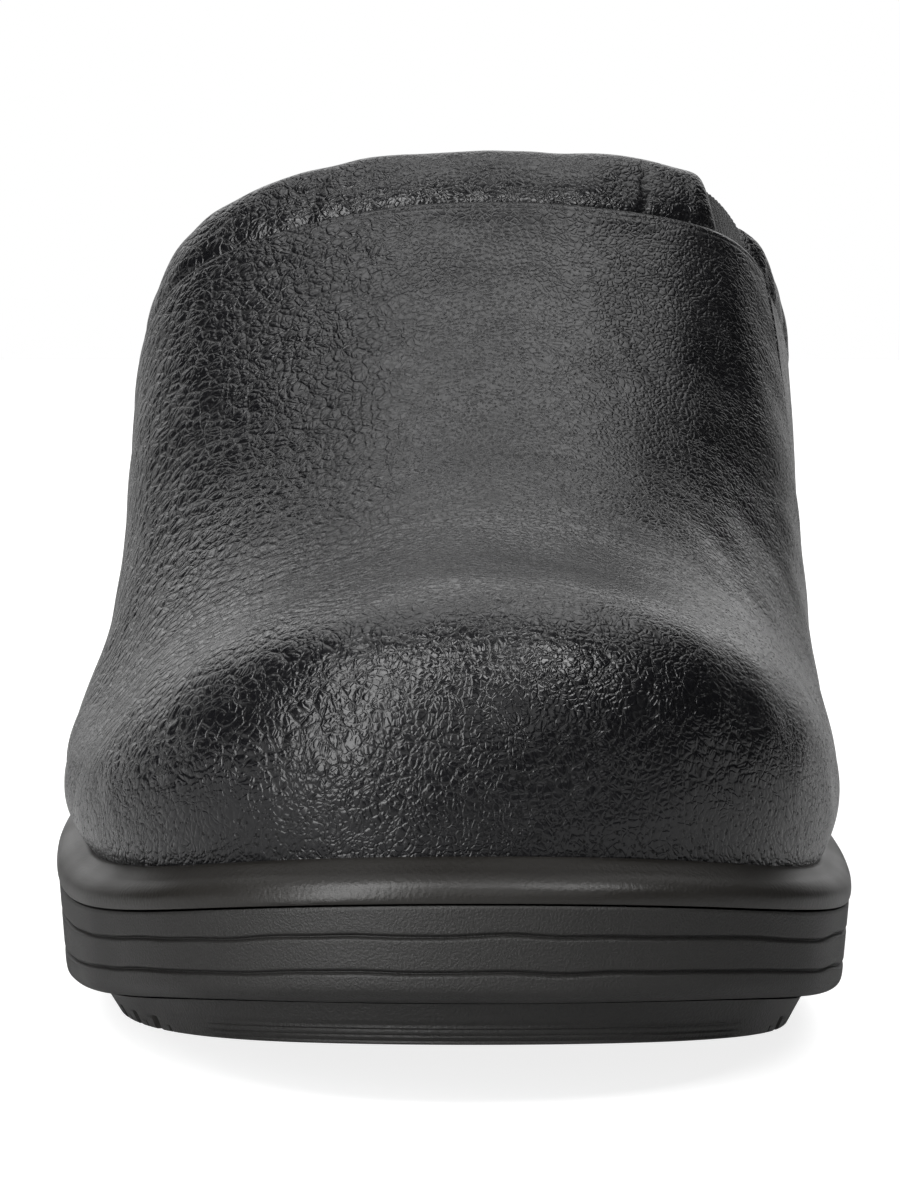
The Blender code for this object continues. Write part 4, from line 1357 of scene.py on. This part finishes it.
        spots = self.last.sole.row_frame(read(points, at))
        ahead = self.last.sole.row_frame(read(points, at + self.stitch_ahead))
        along = unit(ahead - spots)
        normal = self.last.sole.row_direction(read(out, at))
        side = unit(np.cross(normal, along))
        axes = np.stack([along, side, np.cross(along, side)], axis=1)
        bpy.ops.object.select_all(action="DESELECT")
        bpy.ops.mesh.primitive_uv_sphere_add(segments=self.stitch_sides, ring_count=self.stitch_rings,
                                             radius=self.stitch_radius * MM)
        model = bpy.context.active_object
        corners = np.array([corner.co for corner in model.data.vertices])
        spun = corners[:, [2, 1, 0]] * np.array([1.0, 1.0, -1.0])
        spun[:, 0] += np.sign(np.round(spun[:, 0], 6)) * (self.stitch_length / 2.0 - self.stitch_radius) * MM
        spun[:, 2] -= (np.abs(spun[:, 0]) / (self.stitch_length / 2.0 * MM)) ** 2 * self.stitch_radius * MM
        model.data.vertices.foreach_set("co", spun.ravel())
        dress(joined_copies(name, model, spots, axes), THREAD, "black_leather")

    def build_stitches(self) -> None:
        """Sew the collar seam and the vamp's double-stitched rear edge."""
        front, rear = self.gore.slit_edges(1.0)
        seams = (("collar_seam_stitches", self.seam_ends, float(front) - self.seam_ends, self.vamp_proud),
                 ("quarter_seam_stitches", float(rear) + self.quarter_seam_start, 1.0 - self.seam_ends,
                  -self.quarter_stitch_sink))
        for name, start, end, proud in seams:
            around = np.linspace(start, end, self.seam_path_points)
            up = self.last.seam(around) - (self.seam_gap + self.seam_stitch) / self.last.length(around)
            points, out = self.last.at(around, up)
            self.stitch_row(name, points + out * (proud - self.seam_groove + self.stitch_lift), out)
        levels = self.plain_rows(*self.edge_span, self.edge_path_points)
        for number, inset in enumerate(self.edge_rows, 1):
            around = self.front_edge(levels[0]) - self.gore.topline_share(inset)
            points, out, _ = self.wall(around[:, None], levels, self.vamp_proud + self.edge_lift)
            self.stitch_row(f"vamp_edge_stitches_{number}", points[:, 0], out[:, 0])

    def build(self) -> None:
        """Build every piece of the upper."""
        self.build_vamp()
        self.build_quarter()
        self.build_lining()
        self.build_stitches()


@dataclass
class Collar:
    """The padded roll along the topline, in two lengths parted by the gore."""

    last: LastForm
    gore: Gore
    thickness: float = 5.6
    sink: float = 1.7
    power: float = 0.8
    sides: int = 56
    step: float = 0.62
    end_run: float = 5.0
    end_thin: float = 0.45
    foot_out: float = 0.5
    wrinkle_pitch: float = 3.4
    wrinkle_depth: float = 0.34
    wrinkle_share: tuple = (0.25, 1.0)
    wrinkle_width: tuple = (0.45, 1.1)
    wrinkle_slant: float = 1.6
    wrinkle_reach: float = 0.7
    wrinkle_fade: float = 0.7
    outer_start: float = -0.2
    outer_run: float = 0.6
    plain_back: float = -0.3
    cap_run: float = 1.0
    cap_thin: float = 0.30
    cap_low: float = 0.75
    unevenness: float = 0.10
    uneven_waves: tuple = (5.0, 14.0)
    path_points: int = 800
    front_seed: int = 21
    quarter_seed: int = 22

    def wrinkles(self, run: np.ndarray, turn: np.ndarray, seed: int) -> np.ndarray:
        """Depth of the short wrinkles that run across the roll from its seam.

        Args:
            run: Distance along the roll of each ring, as a column.
            turn: Angle round the roll, as a row. Half a turn back from the top is the seam.
            seed: Seed of the draw.

        Returns:
            Depths for every ring and side.
        """
        draw = np.random.default_rng(seed)
        count = int(run.max() / self.wrinkle_pitch)
        sunk = np.zeros(np.broadcast_shapes(run.shape, turn.shape))
        outer = smooth_step((np.cos(turn) - self.outer_start) / self.outer_run)
        for middle in draw.uniform(0.0, run.max(), count):
            width = draw.uniform(*self.wrinkle_width)
            slant = draw.uniform(-self.wrinkle_slant, self.wrinkle_slant)
            depth = self.wrinkle_depth * draw.uniform(*self.wrinkle_share)
            reach = draw.uniform(-self.wrinkle_reach, self.wrinkle_reach)
            fade = smooth_step((reach - np.sin(turn)) / self.wrinkle_fade + 0.5)
            sunk += depth * hump(run - middle - slant * np.sin(turn), width) * fade * outer
        return sunk

    def roll(self, name: str, start: float, end: float, node: str, seed: int) -> None:
        """Make one length of the roll.

        Args:
            name: Name of the piece.
            start: Where it starts, as a share of the way round.
            end: Where it ends.
            node: The solid that it replaces.
            seed: Seed of its wrinkles.
        """
        fine = np.linspace(start, end, self.path_points)
        top = self.last.at(fine, 1.0)[0]
        runs = run_along(top)
        count = int(runs[-1] / self.step)
        run = np.linspace(0.0, runs[-1], count)
        around = np.interp(run, runs, fine)
        turn = np.linspace(0.0, 2.0 * math.pi, self.sides + 1)
        across = signed_power(np.cos(turn), self.power) * self.thickness / 2.0
        along = signed_power(np.sin(turn), self.power)
        to_end = np.minimum(run, run[-1] - run)
        full = 1.0 - (1.0 - self.end_thin) * (1.0 - smooth_step(to_end / self.end_run)) ** 2
        closing = np.sqrt(np.clip(1.0 - (1.0 - np.minimum(to_end / self.cap_run, 1.0)) ** 2, 0.0, 1.0))
        full = full * (self.cap_thin + (1.0 - self.cap_thin) * closing)
        reach = (self.last.collar_height(around) - self.last.sole.gap)[:, None]
        spread = self.cap_low + (1.0 - self.cap_low) * closing[:, None]
        height = 1.0 - (1.0 - along[None] * spread) / 2.0
        up = 1.0 - reach * (1.0 - height) / self.last.length(around)[:, None]
        points, out = self.last.at(around[:, None], up)
        relief = self.unevenness * SoftWaves(seed, *self.uneven_waves)(points)
        relief -= self.wrinkles(run[:, None], turn[None], seed)
        shown = np.cos(turn) > self.plain_back
        lift = across[None] * full[:, None] - self.sink + relief * closing[:, None] * shown
        lift += self.foot_out * (1.0 - height) ** 2
        rings = points + out * lift[..., None]
        caps = [np.repeat(ring.mean(axis=0)[None, None], len(turn), axis=1) for ring in (rings[0], rings[-1])]
        rings = np.concatenate([caps[0], rings, caps[1]])
        piece = grid_piece(name, self.last.sole.row_frame(rings), outside=False)
        dress(piece, COLLAR_LEATHER, "collar_leather", node)

    def build(self) -> None:
        """Build both lengths of the roll."""
        clear = self.gore.half + self.gore.topline_share(self.last.sole.gap)
        self.roll("collar_roll", 0.0, self.gore.around - clear, "collar", self.front_seed)
        self.roll("collar_roll_quarter", self.gore.around + clear, 1.0, "collar_quarter", self.quarter_seed)


class RimCorner(NamedTuple):
    """A corner of the rim's section: how far in from the outline and how far below the rim's top."""

    inset: float
    below: float


RIM_FACE = (
    RimCorner(inset=4.6, below=0.0),
    RimCorner(inset=3.7, below=0.12),
    RimCorner(inset=2.9, below=0.62),
    RimCorner(inset=2.1, below=1.25),
    RimCorner(inset=1.25, below=1.85),
    RimCorner(inset=0.45, below=2.7),
    RimCorner(inset=0.02, below=3.7),
    RimCorner(inset=0.04, below=4.7),
    RimCorner(inset=0.25, below=5.2),
)
RIM_BACK = (
    RimCorner(inset=2.6, below=5.2),
    RimCorner(inset=4.6, below=5.2),
    RimCorner(inset=4.6, below=0.0),
)


class SideGroove(NamedTuple):
    """A groove round the side wall, at a share of the way down it."""

    share_down: float
    depth: float
    width: float


@dataclass
class Sole:
    """Rim, side wall, tread and footbed."""

    form: SoleForm
    stations: int = 230
    rim_rows: int = 33
    rim_sway: float = 0.05
    rim_sway_span: tuple = (0.3, 4.9)
    rim_waves: tuple = (9.0, 30.0)
    rim_seed: int = 31
    grooves: tuple = (SideGroove(0.300, 0.60, 0.020), SideGroove(0.655, 0.60, 0.020))
    groove_rows: tuple = (-0.045, -0.03, -0.018, -0.009, 0.0, 0.009, 0.018, 0.03, 0.045)
    side_top_rows: tuple = (0.0, 0.08, 10)
    side_middle_rows: tuple = (0.1, 0.78, 30)
    side_draft: float = 1.05
    side_sway: float = 0.09
    side_sway_gain: tuple = (12.0, 8.0)
    side_waves: tuple = (8.0, 26.0)
    side_seed: int = 33
    lip: float = 0.25
    lip_cover: float = 0.7
    top_tuck: float = 0.15
    top_tuck_width: float = 0.018
    foot_round: float = 4.4
    foot_round_share: float = 0.22
    foot_round_power: float = 2.2
    foot_rows: int = 16
    foot_row_power: float = 0.6
    cover_inward: tuple = (0.1, 1.0)
    tread_inset: float = 6.2
    tread_draft: float = 1.8
    tread_rows: int = 22
    tread_last_row: float = 0.96
    tread_chamfer: float = 0.15
    tread_inward: tuple = (0.25, 0.5, 0.75, 1.0)
    tread_sharp_angle: float = 40.0
    station_gap: float = 1.2
    lug_pitch: float = 9.5
    lug_channel: float = 2.6
    lug_depth: float = 1.8
    lug_wall: float = 0.3
    sipe_width: float = 0.7
    sipe_depth: float = 0.9
    heel_lugs: tuple = (18.0, 66.0)
    ball_lugs: tuple = (122.0, 238.0)
    toe_lines: int = 4
    toe_line_start: float = 236.0
    toe_line_run: float = 12.0
    toe_line_depth: float = 0.22
    toe_line_top: float = 0.46
    toe_line_share: float = 0.5
    footbed_thickness: float = 5.0
    footbed_dish: float = 2.0
    footbed_edge: float = 9.0
    footbed_edge_rows: int = 19
    footbed_edge_drop: float = 0.45
    footbed_flat: float = 2.0
    footbed_round: float = 0.7
    footbed_inward: tuple = (1.0, 0.8, 0.6, 0.4, 0.2)
    footbed_sharp_angle: float = 60.0
    heel_seat_end: float = 40.0
    upper_seat_start: float = 54.0
    upper_wall: float = 2.0

    def even_stations(self) -> np.ndarray:
        """Distances from the heel, closest at the two tips."""
        turn = np.linspace(0.0, math.pi, self.stations)
        return self.form.length * (1.0 - np.cos(turn)) / 2.0

    def even_ring(self) -> tuple[np.ndarray, np.ndarray]:
        """Outline shares of the even stations and how far each lies from the heel."""
        shares = self.form.ring_shares(self.even_stations())
        return shares, self.form.outline(shares)[:, 1]

    @staticmethod
    def sway(ring: np.ndarray, waves: SoftWaves, amount: float, fade: float = 1.0) -> None:
        """Move a closed ring a little up and down, as a moulding does.

        Args:
            ring: Points in millimetres, changed in place.
            waves: The unevenness.
            amount: How far it moves.
            fade: Share of the movement that is left near an edge.
        """
        lift = amount * waves(ring) * fade
        lift[-1] = lift[0]
        ring[:, 2] += lift

    def ring(self, shares: np.ndarray, inset: Any, height: np.ndarray, inward: float = 0.0) -> np.ndarray:
        """One ring of a sole piece.

        Args:
            shares: Outline shares, paired across the sole.
            inset: How far the ring is set in.
            height: Its height at each share.
            inward: Share of the way in to the middle line of the sole.

        Returns:
            Points in millimetres.
        """
        plan = self.form.inset(shares, inset)
        middle = (plan + plan[::-1]) / 2.0
        plan = plan + (middle - plan) * inward
        level = (height + height[::-1]) / 2.0 * inward + height * (1.0 - inward)
        return np.concatenate([plan, level[:, None]], axis=-1)

    def build_rim(self) -> None:
        """Make the smooth rim: a hollow beside the upper, a rounded edge and a lip underneath."""
        face = Spline(np.linspace(0.0, 1.0, len(RIM_FACE)), RIM_FACE)
        section = np.vstack([face(np.linspace(0.0, 1.0, self.rim_rows)), RIM_BACK])
        shares, edge = self.even_ring()
        waves = SoftWaves(self.rim_seed, *self.rim_waves)
        rings = []
        for inset, below in section:
            ring = self.ring(shares, inset, self.form.rim(edge) - below)
            if self.rim_sway_span[0] < below < self.rim_sway_span[1]:
                self.sway(ring, waves, self.rim_sway)
            rings.append(ring)
        piece = grid_piece("rim", self.form.row_frame(np.array(rings)))
        smooth_shading()
        dress(piece, RIM_RUBBER, "rim_rubber", "welt")

    def side_inset(self, down: float) -> float:
        """How far the side wall stands in at a share of the way down, between the rounded grooves."""
        inset = self.lip + self.side_draft * down
        inset += self.top_tuck * float(hump(down, self.top_tuck_width))
        for groove in self.grooves:
            inset += groove.depth * float(hump(down - groove.share_down, groove.width))
        start = 1.0 - self.foot_round_share
        low = max(0.0, (down - start) / self.foot_round_share)
        return inset + self.foot_round * (1.0 - math.sqrt(max(0.0, 1.0 - low ** self.foot_round_power)))

    def side_rows(self) -> np.ndarray:
        """Shares of the way down the side wall, closest at its top, its grooves and its rounded foot."""
        near = [groove.share_down + offset for groove in self.grooves for offset in self.groove_rows]
        low = np.linspace(0.0, 1.0, self.foot_rows) ** self.foot_row_power
        foot = 1.0 - self.foot_round_share * (1.0 - low)
        plain = [np.linspace(*self.side_top_rows), np.linspace(*self.side_middle_rows)]
        return np.unique(np.concatenate([*plain, near, foot]))

    def build_side(self) -> None:
        """Make the ribbed side wall and close it above and below."""
        shares, edge = self.even_ring()
        top, bottom = self.form.side_top(edge), self.form.side_bottom(edge)
        waves = SoftWaves(self.side_seed, *self.side_waves)
        first_inset = self.lip + self.lip_cover
        rings = [self.ring(shares, first_inset, top, inward) for inward in reversed(self.cover_inward)]
        for down in self.side_rows():
            ring = self.ring(shares, self.side_inset(float(down)), top * (1.0 - down) + bottom * down)
            fade = min(1.0, self.side_sway_gain[0] * down, self.side_sway_gain[1] * (1.0 - down))
            self.sway(ring, waves, self.side_sway, fade)
            rings.append(ring)
        last_inset = self.side_inset(1.0)
        rings += [self.ring(shares, last_inset, bottom, inward) for inward in self.cover_inward]
        piece = grid_piece("side_wall", self.form.row_frame(np.array(rings)))
        dress(piece, SIDE_RUBBER, "side_rubber", "midsole")

    def tread_stations(self) -> tuple[np.ndarray, np.ndarray]:
        """Stations of the tread and how deep it is cut at each of them.

        Returns:
            Rising distances from the heel and depths of the channels and sipes.
        """
        cuts = {}
        far_wall = self.lug_channel - self.lug_wall
        channel = ((0.0, 0.0), (self.lug_wall, 1.0), (far_wall, 1.0), (self.lug_channel, 0.0))
        sipe = ((-0.5, 0.0), (-0.25, 1.0), (0.25, 1.0), (0.5, 0.0))
        for low, high in (self.heel_lugs, self.ball_lugs):
            for start in np.arange(low, high - self.lug_channel, self.lug_pitch):
                for offset, depth in channel:
                    cuts[float(start + offset)] = depth * self.lug_depth
                middle = start + (self.lug_pitch + self.lug_channel) / 2.0
                if middle + self.sipe_width < high:
                    for offset, depth in sipe:
                        cuts[float(middle + offset * self.sipe_width)] = depth * self.sipe_depth
        taken = np.array(sorted(cuts))
        plain = [s for s in self.even_stations() if np.abs(taken - s).min() > self.station_gap]
        plain = [s for s in plain if not self.inside_channel(float(s))]
        for station in plain:
            cuts[float(station)] = 0.0
        along = np.array(sorted(cuts))
        return along, np.array([cuts[station] for station in along])

    def inside_channel(self, station: float) -> bool:
        """Whether a station lies over a channel or a sipe."""
        for low, high in (self.heel_lugs, self.ball_lugs):
            if low <= station <= high:
                phase = (station - low) % self.lug_pitch
                middle = (self.lug_pitch + self.lug_channel) / 2.0
                return phase < self.lug_channel or abs(phase - middle) < self.sipe_width
        return False

    def build_tread(self) -> None:
        """Make the tread layer with its channels, sipes and the fine lines round its toe."""
        along, cut = self.tread_stations()
        shares = self.form.ring_shares(along)
        cuts = np.concatenate([cut, cut[-2::-1]])
        edge = self.form.outline(shares)[:, 1]
        top, ground = self.form.tread_top(edge), self.form.ground(edge)
        toe = smooth_step((edge - self.toe_line_start) / self.toe_line_run)
        bottom = ground + cuts
        rings = [self.ring(shares, self.tread_inset, top, inward) for inward in reversed(self.cover_inward)]
        for down in np.linspace(0.0, self.tread_last_row, self.tread_rows):
            turn = 2.0 * math.pi * self.toe_lines * max(0.0, down - self.toe_line_top) / self.toe_line_share
            line = self.toe_line_depth * (0.5 - 0.5 * math.cos(turn))
            inset = self.tread_inset + self.tread_draft * down + line * toe
            rings.append(self.ring(shares, inset, np.maximum(top * (1.0 - down) + ground * down, bottom)))
        foot = self.tread_inset + self.tread_draft + self.tread_chamfer
        rings += [self.ring(shares, foot, bottom, inward) for inward in (0.0, *self.tread_inward)]
        piece = grid_piece("tread", self.form.row_frame(np.array(rings)))
        smooth_shading(self.tread_sharp_angle)
        dress(piece, TREAD_RUBBER, "tread_rubber", "outsole")

    def build_footbed(self) -> None:
        """Make the padded footbed, cupped at the heel and dished along its middle."""
        shares, edge = self.even_ring()
        rim = self.form.rim(edge)
        at_heel = self.form.welt_width + self.form.gap
        in_upper = at_heel + self.upper_wall + 2.0 * self.form.gap
        share = smooth_step((edge - self.heel_seat_end) / (self.upper_seat_start - self.heel_seat_end))
        inset = at_heel + (in_upper - at_heel) * share
        low = -self.form.welt_height
        full = low + self.footbed_thickness
        dish = rim + full - self.footbed_dish
        rings = [self.ring(shares, inset + self.footbed_edge, dish, inward) for inward in self.footbed_inward]
        for step in np.linspace(self.footbed_edge, 0.0, self.footbed_edge_rows):
            sunk = smooth_step((step - self.footbed_flat) / (self.footbed_edge - self.footbed_flat))
            drop = self.footbed_edge_drop + (self.footbed_dish - self.footbed_edge_drop) * sunk
            edge_drop = self.footbed_round * (1.0 - min(1.0, step)) ** 2
            rings.append(self.ring(shares, inset + step, rim + full - drop - edge_drop))
        rings += [self.ring(shares, inset, rim + low, inward) for inward in (0.0, *self.cover_inward)]
        piece = grid_piece("footbed", self.form.row_frame(np.array(rings)))
        smooth_shading(self.footbed_sharp_angle)
        dress(piece, NAP, "footbed_cover", "insole")

    def build(self) -> None:
        """Build every piece of the sole."""
        self.build_tread()
        self.build_side()
        self.build_rim()
        self.build_footbed()


class SoftLight(NamedTuple):
    """A rectangular studio light, in metres and watts."""

    name: str
    place: tuple
    aim: tuple
    width: float
    height: float
    power: float


STUDIO_LIGHTS = (
    SoftLight("top_box", (0.0, 0.10, 1.00), (0.0, 0.0, 0.0), 0.90, 0.80, 2.4),
    SoftLight("back_box", (0.0, 1.05, 0.98), (0.0, 0.0, 0.06), 0.90, 0.55, 1.5),
    SoftLight("left_top_box", (-0.42, 0.28, 1.02), (0.0, -0.05, 0.06), 0.66, 0.80, 2.8),
    SoftLight("right_top_box", (0.42, 0.26, 1.02), (0.0, -0.05, 0.06), 0.66, 0.75, 3.0),
    SoftLight("left_strip", (-0.50, -0.74, 0.10), (0.0, -0.12, 0.10), 0.38, 0.82, 7.4),
    SoftLight("left_lamp", (-0.465, -0.636, 0.70), (0.0, -0.12, 0.05), 0.62, 0.34, 6.0),
    SoftLight("right_lamp", (0.34, -0.70, 0.68), (0.0, -0.12, 0.05), 0.52, 0.28, 4.8),
    SoftLight("front_fill", (0.34, -1.72, 0.15), (0.0, 0.0, 0.05), 1.10, 0.90, 3.7),
)


@dataclass
class Studio:
    """Floor, lights, backdrop light and the camera at the photograph's angle."""

    elevation: float = 8.5
    yaw: float = 0.05
    distance: float = 1.45
    aim_height: float = 0.0450
    picture_width: float = 900.0
    picture_height: float = 1200.0
    aim_pixel: tuple = (451.0, 595.5)
    pixels_per_metre: float = 7581.0
    sensor: float = 36.0
    floor_width: float = 6.0
    floor_front: float = -0.185
    floor_back: float = 0.60
    floor_drop: float = 0.0004
    backdrop: float = 1.0
    fill_edge: tuple = (0.68, 1.0)
    fill_rise: float = 0.22
    fill_behind: float = 1.40
    fill_low: float = 0.38
    fill_turn: float = 0.06
    fill_in_front: float = 0.01

    def build_floor(self) -> None:
        """Lay the pale floor, which ends in front of the shoe like the edge of a studio table."""
        bpy.ops.object.select_all(action="DESELECT")
        bpy.ops.mesh.primitive_grid_add(x_subdivisions=4, y_subdivisions=4, size=1.0)
        floor = bpy.context.active_object
        floor.name = "floor"
        for corner in floor.data.vertices:
            share = corner.co.y + 0.5
            corner.co.x *= self.floor_width
            corner.co.y = self.floor_front + (self.floor_back - self.floor_front) * share
            corner.co.z = -self.floor_drop
        floor.data.materials.append(FLOOR.material())

    def build_lights(self) -> None:
        """Hang the lights and set the backdrop."""
        for row in STUDIO_LIGHTS:
            bpy.ops.object.light_add(type="AREA", location=row.place)
            lamp = bpy.context.active_object
            lamp.name = row.name
            lamp.data.shape = "RECTANGLE"
            lamp.data.size = row.width
            lamp.data.size_y = row.height
            lamp.data.energy = row.power
            lamp.visible_camera = False
            lamp.rotation_euler = (Vector(row.aim) - Vector(row.place)).to_track_quat("-Z", "Y").to_euler()
        world = bpy.data.worlds.new("studio")
        bpy.context.scene.world = world
        world.use_nodes = True
        sheet = NodeSheet(world.node_tree)
        seen = sheet.node("ShaderNodeLightPath", out="Is Camera Ray")
        towards = sheet.node("ShaderNodeTexCoord", out="Generated")
        aside, behind, above = sheet.axes(towards)
        turned = behind - aside * self.fill_turn
        fill = sheet.eased(turned, *self.fill_edge, self.fill_in_front, self.fill_behind)
        fill = fill * sheet.eased(above, 0.0, self.fill_rise, self.fill_low, 1.0)
        strength = seen * self.backdrop + (1.0 - seen) * fill
        inputs = {"Color": (1.0, 1.0, 1.0, 1.0), "Strength": strength}
        light = sheet.node("ShaderNodeBackground", None, inputs)
        sheet.node("ShaderNodeOutputWorld", None, {"Surface": light})

    def build_camera(self) -> None:
        """Set the camera so that the aim point falls on its pixel."""
        lift, turn = math.radians(self.elevation), math.radians(self.yaw)
        back = Vector((-math.sin(turn) * math.cos(lift), -math.cos(turn) * math.cos(lift), math.sin(lift)))
        target = Vector((0.0, 0.0, self.aim_height))
        right = Vector((math.cos(turn), -math.sin(turn), 0.0))
        above = right.cross(back) * -1.0
        off_x = (self.aim_pixel[0] - self.picture_width / 2.0) / self.pixels_per_metre
        off_y = (self.picture_height / 2.0 - self.aim_pixel[1]) / self.pixels_per_metre
        aim = target - right * off_x - above * off_y
        data = bpy.data.cameras.new("camera")
        camera = bpy.data.objects.new("camera", data)
        bpy.context.scene.collection.objects.link(camera)
        camera.location = target + back * self.distance
        camera.rotation_euler = (aim - camera.location).to_track_quat("-Z", "Y").to_euler()
        data.sensor_fit = "HORIZONTAL"
        data.sensor_width = self.sensor
        data.lens = self.pixels_per_metre * self.distance * self.sensor / self.picture_width
        bpy.context.scene.camera = camera

    def build(self) -> None:
        """Build the studio."""
        self.build_floor()
        self.build_lights()
        self.build_camera()
        bpy.context.scene.view_settings.view_transform = "Standard"


def main() -> None:
    """Build the shoe and the studio in order."""
    logging.basicConfig(level=logging.INFO, format="%(name)s: %(message)s")
    sole = SoleForm()
    last = LastForm(sole)
    gore = Gore(last)
    Studio().build()
    Sole(sole).build()
    Upper(last, gore).build()
    Collar(last, gore).build()
    gore.build()


if __name__ == "__main__":
    main()
